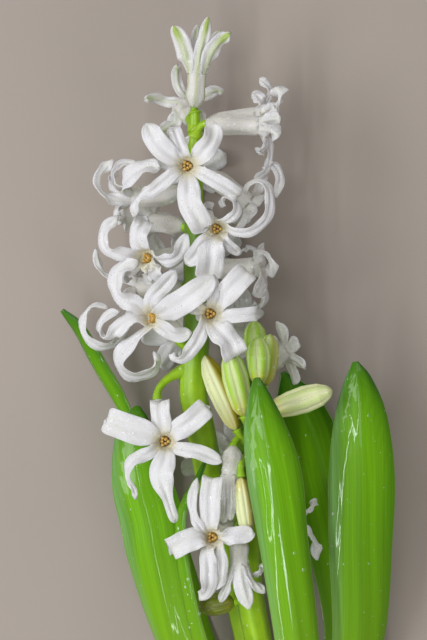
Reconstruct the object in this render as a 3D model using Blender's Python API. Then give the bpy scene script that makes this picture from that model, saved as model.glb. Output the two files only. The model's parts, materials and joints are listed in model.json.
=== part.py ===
"""A white hyacinth as picked: two flower stalks, their florets and buds, six leaves and the cut bulb neck.

The plant lies on its back. X runs across it, Y along it from the neck to the flowers, and Z is up.
Every length in the tables below is in millimetres and every angle in degrees.
"""

import math

import bmesh
import bpy
import numpy as np

MM = 0.001
GAP = 0.3                       # clearance between pieces that touch
ORIGIN = (-4.0, 36.5, -1.0)       # added to every place, so that the middle of the plant is the origin

# Florets: a tube of six sectors, each of which runs on into a lobe.
LOBE_THICK = 0.8
THROAT_RADIUS = 3.3
TUBE_RADII = ((0.0, 1.5), (0.28, 2.7), (0.62, 2.5), (1.0, THROAT_RADIUS))
CUP_START = 0.74                # where the open throat begins along the tube
CUP_FLOOR = 0.70
FLARE = 24.0                    # angle at which a lobe leaves the throat
SPREAD = 78.0                   # angle that an open lobe reaches before it curls back
LOBE_WIDTHS = ((12, 45, 80), (1.95, 2.7, 3.6))    # half width of a lobe, by how far it curls
SHORT_LOBE_WIDTH = 0.3          # most that the half width may be of a short lobe's length
LOBE_ROWS = (0.0, 0.22, 0.44, 0.67, 0.92, 1.0)
LOBE_HOLLOW = (30.0, 14.0, 30.0)   # half angle of a lobe's cross-section at its root, middle and tip

# Stalks.
STALK_SIDES = 10
PEDICEL_SIDES = 6
PEDICEL_RADIUS = 1.35

# Leaves.
LEAF_EDGE = 0.9
LEAF_CROWN = 1.5                # how much thicker a leaf is along its middle
LEAF_ACROSS = (-1.0, -0.55, 0.0, 0.55, 1.0)
LEAF_STEPS = 13

# The cut neck.
NECK_CENTRE = (19.0, -149.7, 16.0)
NECK_LENGTH = 12.0
NECK_RADIUS = 15.4
NECK_SIDES = 28
NECK_FLAT = 0.5                 # depth of the flat that it lies on

# Stalks: x, y, z, radius at each station, from the neck up.
STALKS = {
    "stalk_main": (
        (14.5, -149.7, 13.0, 4.3), (14.5, -122.0, 14.5, 4.3), (10.4, -96.0, 16.5, 4.3),
        (1.5, -60.0, 22.0, 4.3), (-3.9, -33.0, 26.5, 4.3), (-6.2, -20.0, 27.5, 4.2),
        (-5.0, 0.0, 28.0, 4.0), (-5.6, 24.0, 28.0, 3.3), (-5.5, 45.0, 28.0, 2.1), (-5.6, 63.0, 28.0, 1.5),
    ),
    "stalk_side": (
        (23.4, -149.7, 18.5, 4.1), (20.0, -125.0, 22.0, 4.1), (13.4, -96.0, 27.0, 4.1),
        (10.4, -78.0, 29.5, 4.1), (10.3, -60.0, 31.0, 4.0), (10.4, -40.0, 32.0, 3.7),
        (11.6, -25.0, 32.3, 2.8), (12.3, -15.2, 32.3, 1.6),
    ),
}

# Leaves: x, y, z, half width, direction of the outer face round Y, half angle of the hollow.
LEAVES = {
    "leaf_left_narrow": (
        (13.8, -149.7, 4.9, 5.3, -115, 25), (4.0, -122.0, 4.0, 6.0, -118, 22), (-7.0, -96.0, 3.0, 6.5, -112, 20),
        (-13.0, -72.0, 3.2, 6.5, -112, 20), (-19.0, -45.0, 6.5, 6.3, -135, 22), (-27.5, -25.5, 11.5, 5.8, -165, 24),
        (-35.6, -13.5, 14.0, 5.0, -175, 28), (-41.6, -3.0, 15.5, 3.2, -175, 32), (-46.0, 3.0, 16.0, 0.8, -175, 32),
    ),
    "leaf_left_broad": (
        (6.85, -149.7, 14.9, 5.3, 185, 25), (-2.0, -125.0, 20.0, 6.4, 158, 22), (-11.5, -96.0, 25.0, 7.9, 120, 20),
        (-16.8, -72.0, 29.0, 9.6, 103, 20), (-18.9, -60.0, 30.0, 9.9, 100, 20), (-22.0, -48.0, 30.5, 9.2, 98, 22),
        (-23.5, -36.0, 29.0, 7.0, 98, 28), (-23.3, -29.0, 27.5, 3.6, 98, 36), (-23.0, -26.0, 26.5, 0.9, 98, 40),
    ),
    "leaf_folded": (
        (12.0, -149.7, 26.0, 5.3, 125, 25), (5.0, -122.0, 34.0, 5.0, 135, 28), (-4.5, -96.0, 38.0, 4.0, 150, 32),
        (-9.5, -72.0, 38.5, 3.5, 160, 36), (-10.0, -60.0, 38.5, 3.2, 163, 38), (-8.5, -54.0, 38.0, 2.8, 163, 38),
        (-5.0, -47.5, 37.5, 1.8, 160, 38), (-2.3, -42.0, 37.0, 0.7, 160, 38),
    ),
    "leaf_front": (
        (24.2, -149.7, 27.1, 5.3, 65, 25), (27.5, -125.0, 37.0, 6.0, 72, 22), (25.0, -96.0, 45.0, 6.7, 82, 20),
        (20.8, -66.0, 50.0, 7.4, 88, 22), (18.0, -46.2, 52.0, 8.3, 90, 24), (14.9, -31.8, 52.0, 6.5, 95, 30),
        (13.3, -22.0, 50.5, 3.4, 98, 38), (12.8, -17.1, 49.0, 0.9, 98, 40),
    ),
    "leaf_behind": (
        (26.0, -149.7, 6.0, 5.3, -55, 25), (36.5, -122.0, 4.0, 6.8, -72, 22), (42.0, -96.0, 2.6, 8.0, -85, 20),
        (37.0, -66.0, 2.4, 9.0, -90, 20), (32.6, -48.0, 3.5, 9.3, -92, 20), (29.6, -36.0, 5.5, 8.7, -95, 22),
        (24.5, -24.0, 9.0, 6.6, -98, 28), (21.2, -16.0, 12.0, 0.9, -100, 34),
    ),
    "leaf_right": (
        (31.2, -149.7, 17.0, 5.3, 5, 25), (39.0, -125.0, 21.0, 6.8, 38, 22), (44.1, -96.0, 27.0, 8.5, 72, 20),
        (44.4, -66.0, 32.0, 10.0, 82, 22), (44.5, -46.2, 34.0, 10.2, 87, 24), (44.0, -28.8, 34.0, 8.2, 92, 30),
        (43.2, -18.0, 32.5, 4.6, 95, 38), (42.5, -12.6, 31.0, 0.9, 95, 40),
    ),
}

# Florets: name, stalk, height at which the pedicel leaves it, foot of the tube, throat, direction faced,
# roll, and six lobes (length, curl at the tip, direction anticlockwise from the top), from the top one on.
FLORETS = (
    ("floret_top", "stalk_main", 62, (-5.8, 64.2, 28), (-4.6, 76.0, 30), (0.08, 1, 0.12), 0,
     ((13, 42, 0), (13, 30, 60), (13, 44, 120), (13, 28, 180), (13, 42, 240), (13, 30, 300))),
    ("floret_top_back", "stalk_main", 57, (-7.2, 60.5, 24), (-10.0, 67, 16), (-0.45, 0.55, -0.7), 0,
     ((12, 110, 0), (12, 100, 60), (10, 130, 120), (11, 120, 180), (11, 120, 240), (12, 110, 300))),
    ("floret_top_right", "stalk_main", 55, (-2.4, 58.8, 29), (13.8, 58.6, 30), (1, -0.03, 0.12), 0,
     ((16, 125, 0), (15, 110, 60), (15, 150, 120), (12, 170, 180), (14, 150, 240), (14, 130, 300))),
    ("floret_back_right", "stalk_main", 51, (-3.4, 55.5, 24), (7.0, 62, 14), (0.6, 0.35, -0.7), 30,
     ((11, 130, 30), (9, 130, 90), (11, 130, 150), (11, 130, 210), (9, 160, 270), (10, 150, 330))),
    ("floret_upper_front", "stalk_main", 46, (-6.6, 47, 32), (-7.7, 45.6, 46), (-0.03, 0.02, 1), 0,
     ((12, 140, 10), (16, 110, 44), (19, 100, 128), (20, 95, 190), (16, 120, 243), (14, 105, 325))),
    ("floret_upper_left", "stalk_main", 38, (-9.5, 39, 29), (-24.0, 36.5, 31), (-0.85, 0.35, 0.3), 0,
     ((18, 200, 0), (17, 190, 60), (12, 150, 120), (8, 170, 180), (12, 160, 240), (18, 190, 300))),
    ("floret_mid_right", "stalk_main", 29, (-2.2, 29.5, 32), (1.2, 27.0, 43), (0.25, -0.08, 0.95), 10,
     ((15, 170, 0), (8, 150, 80), (14, 115, 142), (14, 115, 195), (16, 130, 250), (20, 190, 300))),
    ("floret_mid_left", "stalk_main", 20, (-8.8, 20, 31), (-20.0, 18.5, 39), (-0.6, 0.2, 0.75), 0,
     ((13, 150, 0), (15, 200, 78), (15, 160, 132), (12, 140, 180), (12, 130, 240), (14, 130, 300))),
    ("floret_left", "stalk_main", 10, (-9.2, 10, 26), (-22.5, 11.0, 19), (-0.9, 0.0, -0.35), 20,
     ((8, 190, 16), (11, 190, 80), (9, 190, 140), (9, 190, 200), (9, 190, 260), (10, 190, 320))),
    ("floret_lower_front", "stalk_main", 1, (-3.8, 1.5, 33), (-0.8, 1.8, 47), (0.06, -0.03, 1), 20,
     ((12, 120, 0), (14, 85, 88), (16, 115, 140), (14, 110, 212), (13, 125, 266), (15, 110, 316))),
    ("floret_lower_left", "stalk_main", -8, (-10.6, -6, 32), (-19.5, -1.5, 36), (-0.8, -0.05, 0.6), 20,
     ((16, 200, 20), (16, 200, 84), (16, 150, 140), (17, 190, 200), (14, 180, 260), (13, 160, 320))),
    ("floret_right", "stalk_main", 15, (-1.0, 15, 28), (12.5, 16, 29), (0.95, 0.1, 0.15), 25,
     ((13, 150, 25), (13, 160, 85), (13, 160, 145), (11, 170, 205), (13, 160, 265), (10, 180, 325))),
    ("floret_low", "stalk_main", -14, (-17.2, -24, 33), (-15.2, -36, 44), (0.02, -0.08, 1), 10,
     ((12, 130, 2), (17, 95, 72), (16, 130, 140), (20, 95, 190), (17, 105, 253), (15, 95, 305))),
    ("floret_right_back", "stalk_main", 40, (-2.4, 39, 25), (9.5, 37.5, 19), (0.85, 0.0, -0.5), 0,
     ((12, 170, 0), (10, 170, 60), (12, 160, 120), (10, 170, 180), (12, 160, 240), (9, 170, 300))),
    ("floret_back_high", "stalk_main", 45, (-6.6, 44, 22), (-6.6, 45, 4), (0.0, 0.0, -1), 0,
     ((11, 150, 0), (11, 150, 60), (8, 160, 120), (11, 150, 180), (8, 165, 244), (11, 150, 300))),
    ("floret_back_left", "stalk_main", 28, (-8.9, 28, 24), (-18.5, 29.5, 15), (-0.75, 0.05, -0.65), 30,
     ((8, 170, 30), (11, 160, 90), (11, 160, 146), (8, 170, 207), (11, 160, 270), (11, 160, 330))),
    ("floret_back_mid", "stalk_main", 21, (-4.6, 20.5, 22), (-2.5, 19.5, 4), (0.0, 0.0, -1), 0,
     ((11, 150, 0), (11, 150, 60), (11, 150, 120), (11, 150, 180), (11, 150, 240), (11, 150, 300))),
    ("floret_back_low", "stalk_main", 2, (-7.4, 0.0, 22), (-10.5, -4.5, 5), (-0.1, -0.1, -1), 30,
     ((11, 150, 30), (8, 160, 90), (11, 150, 150), (11, 150, 210), (11, 150, 270), (8, 160, 330))),
    ("floret_right_low", "stalk_main", 0, (-1.4, 0.0, 25), (7.5, -0.5, 15), (0.6, 0.0, -0.8), 0,
     ((11, 160, 0), (9, 170, 57), (8, 165, 124), (11, 160, 180), (8, 170, 240), (11, 160, 300))),
    ("floret_side_front", "stalk_side", -56, (5.2, -60, 37), (0.3, -63.4, 46), (-0.3, -0.05, 0.95), -20,
     ((16, 100, -5), (14, 130, 42), (13, 110, 102), (18, 100, 166), (16, 85, 200), (11, 130, 270))),
    ("floret_side_hanging", "stalk_side", -34, (5.8, -38, 38.5), (5.2, -47, 40.5), (-0.05, -1, 0.0), 0,
     ((10, 14, 0), (10, 12, 60), (10, 14, 120), (10, 12, 180), (10, 14, 240), (9, 10, 300))),
    ("floret_side_low", "stalk_side", -62, (7.6, -66.0, 39.5), (7.2, -73.0, 42.5), (0.08, -0.95, 0.25), 0,
     ((9, 20, 0), (11, 36, 60), (11, 40, 120), (11, 20, 180), (10, 40, 240), (8, 25, 300))),
    ("floret_side_right", "stalk_side", -55, (15.8, -57.5, 32), (22.5, -60.0, 33), (0.95, -0.15, 0.05), 0,
     ((12, 130, 0), (11, 120, 60), (11, 120, 120), (11, 120, 180), (11, 120, 240), (11, 120, 300))),
    ("floret_side_back", "stalk_side", -20, (16.2, -15.5, 29.5), (21.5, -10.5, 26), (0.75, 0.3, -0.5), 0,
     ((11, 130, 0), (11, 140, 60), (10, 150, 120), (11, 150, 180), (11, 130, 240), (8, 170, 300))),
    ("floret_side_behind", "stalk_side", -36, (9.4, -38.0, 26.5), (7.0, -40.0, 17), (-0.2, -0.1, -0.95), 0,
     ((11, 130, 0), (11, 130, 60), (11, 130, 120), (11, 130, 180), (11, 130, 240), (11, 130, 300))),
)

# Buds: name, stalk, height on it, foot, tip, radius.
BUDS = (
    ("bud_cream_left", "stalk_side", -37, (6.6, -32.5, 37), (-3.0, -11.5, 39), 3.7),
    ("bud_green_mid", "stalk_side", -31, (10.0, -27.5, 39.5), (5.2, -9.0, 42.5), 3.3),
    ("bud_front", "stalk_side", -23, (12.9, -20.0, 38.5), (12.8, -5.5, 39), 2.9),
    ("bud_top", "stalk_side", -17, (12.3, -14.5, 32.5), (12.3, -1.0, 32), 2.9),
    ("bud_top_right", "stalk_side", -21, (17.6, -17.0, 35), (18.6, -3.0, 35), 2.8),
    ("bud_right", "stalk_side", -29, (16.5, -26.5, 35), (34.5, -21.0, 38), 3.4),
    ("bud_pale_low", "stalk_side", -42, (10.4, -47.0, 46), (9.9, -62.0, 46.5), 2.4),
    ("bud_olive", "stalk_side", -81, (5.4, -84.0, 31), (-4.0, -87.0, 31), 3.0),
)


def unit(vector):
    """A direction of length one."""
    vector = np.asarray(vector, float)
    return vector / np.linalg.norm(vector)


def smooth_step(value):
    """0 below 0, 1 above 1, with level ends."""
    value = np.clip(value, 0.0, 1.0)
    return value * value * (3 - 2 * value)


def smooth_path(stations, steps):
    """Evenly spaced points on the Catmull-Rom curve through hand-set stations."""
    stations = np.asarray(stations, float)
    padded = np.vstack([2 * stations[0] - stations[1], stations, 2 * stations[-1] - stations[-2]])
    place = np.linspace(0, len(stations) - 1, steps)
    start = np.minimum(place.astype(int), len(stations) - 2)
    t = (place - start)[:, None]
    a, b, c, d = (padded[start + k] for k in range(4))
    return 0.5 * (2 * b + (c - a) * t + (2 * a - 5 * b + 4 * c - d) * t**2 + (3 * b - a - 3 * c + d) * t**3)


def new_object(name, points, faces, material):
    """An object whose mesh has these points, in millimetres, with its faces turned outwards."""
    mesh = bpy.data.meshes.new(name)
    places = (np.asarray(points, float).reshape(-1, 3) + ORIGIN) * MM
    mesh.from_pydata(places.tolist(), [], faces)
    work = bmesh.new()
    work.from_mesh(mesh)
    bmesh.ops.triangulate(work, faces=work.faces)
    bmesh.ops.recalc_face_normals(work, faces=work.faces)
    work.to_mesh(mesh)
    work.free()
    mesh.materials.append(material)
    piece = bpy.data.objects.new(name, mesh)
    bpy.context.scene.collection.objects.link(piece)
    return piece


def new_material(name, colour, roughness):
    """A plain finish."""
    material = bpy.data.materials.new(name)
    material.use_nodes = True
    shader = material.node_tree.nodes["Principled BSDF"]
    shader.inputs["Base Color"].default_value = (*colour, 1)
    shader.inputs["Roughness"].default_value = roughness
    material.diffuse_color = (*colour, 1)
    return material


def tube_faces(rows, sides):
    """Triangles of a closed tube whose points are in rows of sides, with a fan point at each end."""
    faces = []
    for row in range(rows - 1):
        for side in range(sides):
            a = row * sides + side
            b = row * sides + (side + 1) % sides
            faces += [(a, b, b + sides), (a, b + sides, a + sides)]
    first, last = rows * sides, rows * sides + 1
    top = (rows - 1) * sides
    for side in range(sides):
        faces.append((first, (side + 1) % sides, side))
        faces.append((last, top + side, top + (side + 1) % sides))
    return faces


def tube_points(path, radii, sides, up):
    """Rings round a path, square to it, followed by the two end points."""
    path = np.asarray(path, float)
    along = np.gradient(path, axis=0)
    along /= np.linalg.norm(along, axis=1)[:, None]
    across = up - along * (along @ up)[:, None]
    across /= np.linalg.norm(across, axis=1)[:, None]
    other = np.cross(along, across)
    turn = np.arange(sides) * 2 * math.pi / sides
    ring = np.cos(turn)[None, :, None] * across[:, None] + np.sin(turn)[None, :, None] * other[:, None]
    points = path[:, None] + np.asarray(radii, float)[:, None, None] * ring
    return np.vstack([points.reshape(-1, 3), path[0], path[-1]])


def stalk_point(name, height):
    """The point of a stalk's axis at a height along Y."""
    line = smooth_path(STALKS[name], 200)
    return np.array([np.interp(height, line[:, 1], line[:, k]) for k in range(3)])


def bezier(points, steps):
    """Points of a quadratic curve, and its directions."""
    start, middle, end = (np.asarray(point, float) for point in points)
    t = np.asarray(steps, float)[:, None]
    place = (1 - t)**2 * start + 2 * t * (1 - t) * middle + t**2 * end
    along = 2 * (1 - t) * (middle - start) + 2 * t * (end - middle)
    return place, along / np.linalg.norm(along, axis=1)[:, None]


def throat_frame(facing, roll):
    """A floret's axis and, square to it, its top and side directions."""
    axis = unit(facing)
    up = np.array([0.0, 1.0, 0.0]) if abs(axis[1]) < 0.8 else np.array([0.0, 0.0, 1.0])
    up = unit(up - axis * (axis @ up))
    side = np.cross(axis, up)
    turn = math.radians(roll)
    return axis, math.cos(turn) * up + math.sin(turn) * side, math.cos(turn) * side - math.sin(turn) * up


def lobe_half_width(s, widest):
    """Half width along a lobe: the sector's own at the root, widest below the middle, a blunt tip."""
    root = THROAT_RADIUS * math.radians(LOBE_HOLLOW[0])
    body = root + (widest - root) * smooth_step(s / 0.5)
    return body * (1 - np.clip((s - 0.55) / 0.45, 0, 1)**3)**0.6


def lobe_surface(throat, axis, out, side, lobe, bend, s_rows, t_columns):
    """Middle surface of a lobe and its inward normals, as arrays of rows by columns.

    The midrib leaves the throat at the flare angle, spreads, bends sideways and curls on to its tip. The cross-section is an arc that
    matches the tube's wall at the root.
    """
    length, curl = lobe[:2]
    widest = min(np.interp(curl, *LOBE_WIDTHS), SHORT_LOBE_WIDTH * length)
    fine = np.linspace(0, 1, 61)
    flare, spread = min(FLARE, curl * 0.4), min(SPREAD, curl)
    tilt = np.radians(flare + (spread - flare) * smooth_step(fine / 0.32)
                      + (curl - spread) * np.clip((fine - 0.2) / 0.8, 0, 1)**1.2)
    sway = np.radians(bend) * smooth_step(fine / 0.35)
    outward = np.cos(sway)[:, None] * out + np.sin(sway)[:, None] * side
    lateral = np.cos(sway)[:, None] * side - np.sin(sway)[:, None] * out
    along = np.cos(tilt)[:, None] * axis + np.sin(tilt)[:, None] * outward
    steps = 0.5 * (along[1:] + along[:-1]) * length / 60
    rib = np.vstack([np.zeros(3), np.cumsum(steps, axis=0)]) + throat + THROAT_RADIUS * out
    inward = np.cross(along, lateral)
    root_blend = smooth_step(fine / 0.2)[:, None]
    inward = -out * (1 - root_blend) + inward * root_blend
    inward /= np.linalg.norm(inward, axis=1)[:, None]
    s = np.asarray(s_rows, float)
    rib, inward, lateral = (np.array([[np.interp(v, fine, part[:, k]) for k in range(3)] for v in s])
                            for part in (rib, inward, lateral))
    lateral /= np.linalg.norm(lateral, axis=1)[:, None]
    inward /= np.linalg.norm(inward, axis=1)[:, None]
    hollow = np.radians(np.interp(s, (0, 0.35, 1), LOBE_HOLLOW))[:, None]
    reach = lobe_half_width(s, widest)[:, None]
    t = np.asarray(t_columns, float)[None, :]
    x = reach / hollow * np.sin(hollow * t)
    y = reach / hollow * (1 - np.cos(hollow * t))
    points = rib[:, None] + x[..., None] * lateral[:, None] + y[..., None] * inward[:, None]
    normals = (np.cos(hollow * t)[..., None] * inward[:, None]
               - np.sin(hollow * t)[..., None] * lateral[:, None])
    return points, normals


def floret_mesh(row):
    """One floret as a closed solid: tube, open throat and six lobes of even thickness."""
    _, _, _, foot, throat, facing, roll, lobes = row
    throat = np.asarray(throat, float)
    axis, up, side = throat_frame(facing, roll)
    reach = np.linalg.norm(throat - foot)
    curve = (foot, throat - axis * reach * 0.5, throat)
    columns = np.arange(12) * math.pi / 6 - math.pi / 6    # sector edges are even columns, midribs are odd
    half = LOBE_THICK / 2

    def ring(u, radius):
        place, along = bezier(curve, [u])
        top = unit(up - along[0] * (along[0] @ up))
        other = np.cross(along[0], top)
        return place[0] + radius * (np.cos(columns)[:, None] * top + np.sin(columns)[:, None] * other)

    points, faces = [], []

    def add(block):
        start = sum(len(part) for part in points)
        points.append(np.asarray(block, float).reshape(-1, 3))
        return start

    outer = [add(ring(u, radius + (half if u == 1 else 0))) for u, radius in TUBE_RADII]
    cup_radius = np.interp(CUP_START, *zip(*TUBE_RADII)) - half - 0.3
    inner = [add(ring(1.0, THROAT_RADIUS - half)), add(ring(CUP_START, cup_radius))]
    foot_point = add([foot])
    floor_point = add(bezier(curve, [CUP_FLOOR])[0])
    for lower, upper in zip(outer, outer[1:]):
        for k in range(12):
            n = (k + 1) % 12
            faces += [(lower + k, lower + n, upper + n), (lower + k, upper + n, upper + k)]
    for k in range(12):
        n = (k + 1) % 12
        faces.append((foot_point, outer[0] + n, outer[0] + k))
        faces += [(inner[1] + k, inner[0] + k, inner[0] + n), (inner[1] + k, inner[0] + n, inner[1] + n)]
        faces.append((floor_point, inner[1] + k, inner[1] + n))

    rows = len(LOBE_ROWS)
    for k, lobe in enumerate(lobes):
        turn = k * math.pi / 3
        out = math.cos(turn) * up + math.sin(turn) * side
        across = math.cos(turn) * side - math.sin(turn) * up
        bend = (lobe[2] - roll - 60 * k + 180) % 360 - 180
        middle, normal = lobe_surface(throat, axis, out, across, lobe, bend, LOBE_ROWS, (-1, 0, 1))
        sheets = []
        for sign, root in ((1, inner[0]), (-1, outer[-1])):
            sheet = middle + sign * half * normal
            first = [root + (2 * k + column) % 12 for column in range(3)]
            start = add(sheet[1:-1])
            grid = [first] + [[start + 3 * r + c for c in range(3)] for r in range(rows - 2)]
            tip = add([sheet[-1, 1]])
            sheets.append((grid, tip))
            for low, high in zip(grid, grid[1:]):
                for c in range(2):
                    quad = (low[c], low[c + 1], high[c + 1], high[c])
                    if c == 0:
                        halves = [(quad[0], quad[1], quad[2]), (quad[0], quad[2], quad[3])]
                    else:
                        halves = [(quad[0], quad[1], quad[3]), (quad[1], quad[2], quad[3])]
                    faces += halves if sign < 0 else [tri[::-1] for tri in halves]
            for c in range(2):
                tri = (grid[-1][c], grid[-1][c + 1], tip)
                faces.append(tri if sign < 0 else tri[::-1])
        (grid_in, tip_in), (grid_out, tip_out) = sheets
        for c in (0, 2):
            edge_in = [line[c] for line in grid_in] + [tip_in]
            edge_out = [line[c] for line in grid_out] + [tip_out]
            for r in range(rows - 1):
                quad = (edge_in[r], edge_in[r + 1], edge_out[r + 1], edge_out[r])
                faces += [(quad[0], quad[1], quad[2]), (quad[0], quad[2], quad[3])]
    return np.vstack(points), faces


def bud_mesh(foot, tip, radius):
    """A closed bud: a lengthened egg of six shallow ribs."""
    rows = np.array([0.0, 0.14, 0.34, 0.58, 0.8, 0.94])
    shape = np.array([0.36, 0.78, 0.94, 1.0, 0.82, 0.46])
    foot, tip = np.asarray(foot, float), np.asarray(tip, float)
    path = foot + rows[:, None] * (tip - foot)
    points = tube_points(path, radius * shape, 12, np.array([0.0, 0.0, 1.0]))
    rings = points[:-2].reshape(len(rows), 12, 3)
    rings[:, ::2] = path[:, None] + (rings[:, ::2] - path[:, None]) * 0.9
    points[-1] = tip
    return points, tube_faces(len(rows), 12)


def leaf_mesh(stations):
    """A closed fleshy blade: an arc across, thickest along its middle, carried along the leaf's path."""
    line = smooth_path(stations, LEAF_STEPS)
    path, half_width = line[:, :3], np.maximum(line[:, 3], 0.6)
    facing, hollow = np.radians(line[:, 4]), np.radians(line[:, 5])
    along = np.gradient(path, axis=0)
    along /= np.linalg.norm(along, axis=1)[:, None]
    outer = np.stack([np.cos(facing), np.zeros(len(path)), np.sin(facing)], axis=1)
    outer -= along * np.sum(along * outer, axis=1)[:, None]
    outer /= np.linalg.norm(outer, axis=1)[:, None]
    across = np.cross(along, outer)
    t = np.asarray(LEAF_ACROSS)
    arc = hollow[:, None] * t
    radius = (half_width / hollow)[:, None]
    middle = (path[:, None] + (radius * np.sin(arc))[..., None] * across[:, None]
              - (radius * (1 - np.cos(arc)))[..., None] * outer[:, None])
    normal = np.cos(arc)[..., None] * outer[:, None] + np.sin(arc)[..., None] * across[:, None]
    crown = np.minimum(LEAF_CROWN, 0.3 * half_width)[:, None]
    half = 0.5 * (LEAF_EDGE + crown * (1 - t**2))[..., None]
    loop = np.concatenate([middle + half * normal, (middle - half * normal)[:, ::-1]], axis=1)
    loop[0, :, 1] = path[0, 1]
    sides = loop.shape[1]
    ends = np.stack([loop[0].mean(axis=0), loop[-1].mean(axis=0)])
    return np.vstack([loop.reshape(-1, 3), ends]), tube_faces(len(path), sides)


def fuse(name, pieces, material):
    """One Boolean union of closed pieces, under one name."""
    target, rest = pieces[0], pieces[1:]
    if rest:
        group = bpy.data.collections.new(name + "_parts")
        bpy.context.scene.collection.children.link(group)
        for piece in rest:
            bpy.context.scene.collection.objects.unlink(piece)
            group.objects.link(piece)
        union = target.modifiers.new("union", "BOOLEAN")
        union.operation = "UNION"
        union.operand_type = "COLLECTION"
        union.collection = group
        union.solver = "EXACT"
        bpy.context.view_layer.update()
        seen = target.evaluated_get(bpy.context.evaluated_depsgraph_get())
        mesh = bpy.data.meshes.new_from_object(seen)
        work = bmesh.new()
        work.from_mesh(mesh)
        bmesh.ops.remove_doubles(work, verts=work.verts, dist=0.02 * MM)
        bmesh.ops.dissolve_degenerate(work, edges=work.edges, dist=0.01 * MM)
        bmesh.ops.triangulate(work, faces=work.faces)
        work.to_mesh(mesh)
        work.free()
        target.modifiers.clear()
        target.data = mesh
        for piece in list(group.objects):
            bpy.data.objects.remove(piece)
        bpy.data.collections.remove(group)
    target.name = name
    target.data.name = name
    target.data.materials.clear()
    target.data.materials.append(material)
    return target


def pedicel_parts(stalk, height, foot, direction, material):
    """A short flower stem from inside the stalk to just below the foot of its floret."""
    root = stalk_point(stalk, height)
    foot = np.asarray(foot, float)
    end = foot - unit(direction) * GAP
    reach = np.linalg.norm(end - root)
    path, _ = bezier((root, end - unit(direction) * reach * 0.4, end), np.linspace(0, 1, 4))
    radii = np.full(4, PEDICEL_RADIUS)
    axis = unit(end - root)
    up = np.array([0.0, 0.0, 1.0]) if abs(axis[2]) < 0.8 else np.array([0.0, 1.0, 0.0])
    points = tube_points(path, radii, PEDICEL_SIDES, up)
    ring = points[3 * PEDICEL_SIDES:4 * PEDICEL_SIDES] - end
    square = unit(direction)
    points[3 * PEDICEL_SIDES:4 * PEDICEL_SIDES] = end + ring - square * (ring @ square)[:, None]
    return new_object("pedicel", points, tube_faces(4, PEDICEL_SIDES), material)


def build_stalks(green):
    """Both stalks, each with the pedicels of its florets and buds."""
    for name, stations in STALKS.items():
        line = smooth_path(stations, 16)
        points = tube_points(line[:, :3], line[:, 3], STALK_SIDES, np.array([0.0, 0.0, 1.0]))
        points[:STALK_SIDES, 1] = line[0, 1]
        pieces = [new_object(name, points, tube_faces(len(line), STALK_SIDES), green)]
        for row in FLORETS:
            if row[1] == name:
                axis = unit(row[5])
                reach = np.linalg.norm(np.subtract(row[4], row[3]))
                first = np.asarray(row[4]) - axis * reach * 0.5 - row[3]
                pieces.append(pedicel_parts(name, row[2], row[3], first, green))
        for _, stalk, height, foot, tip, _ in BUDS:
            if stalk == name:
                pieces.append(pedicel_parts(name, height, foot, np.subtract(tip, foot), green))
        fuse(name, pieces, green)


def build_neck(material):
    """The cut top of the bulb: a short round block with a small flat to lie on."""
    x, y, z = NECK_CENTRE
    rows = ((-NECK_LENGTH, 0.94), (-NECK_LENGTH + 1.2, 1.0), (-1.2, 1.0), (-GAP, 0.95))
    path = [(x, y + depth, z) for depth, _ in rows]
    radii = [NECK_RADIUS * share for _, share in rows]
    points = tube_points(path, radii, NECK_SIDES, np.array([0.0, 0.0, 1.0]))
    points[:, 2] = np.maximum(points[:, 2], z - NECK_RADIUS + NECK_FLAT)
    new_object("neck", points, tube_faces(len(rows), NECK_SIDES), material)


def main():
    for piece in list(bpy.context.scene.objects):
        bpy.data.objects.remove(piece)
    stalk_green = new_material("stalk_green", (0.36, 0.56, 0.12), 0.45)
    leaf_green = new_material("leaf_green", (0.07, 0.22, 0.04), 0.35)
    petal_white = new_material("petal_white", (0.82, 0.82, 0.88), 0.55)
    bud_cream = new_material("bud_cream", (0.80, 0.78, 0.50), 0.55)
    neck_cream = new_material("neck_cream", (0.80, 0.76, 0.62), 0.6)
    build_stalks(stalk_green)
    for name, stations in LEAVES.items():
        new_object(name, *leaf_mesh(stations), leaf_green)
    for row in FLORETS:
        new_object(row[0], *floret_mesh(row), petal_white)
    for name, _, _, foot, tip, radius in BUDS:
        new_object(name, *bud_mesh(foot, tip, radius), bud_cream)
    build_neck(neck_cream)


main()
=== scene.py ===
"""A picked white hyacinth with its fine pieces: petals, stamens, buds, stalks, leaves, cut neck and dew.

The plant lies on its back. X runs across it, Y along it from the neck to the flowers, and Z is up.
Lengths in the tables are millimetres in the plant's own frame, and angles are degrees.
"""

import json
import math

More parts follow.
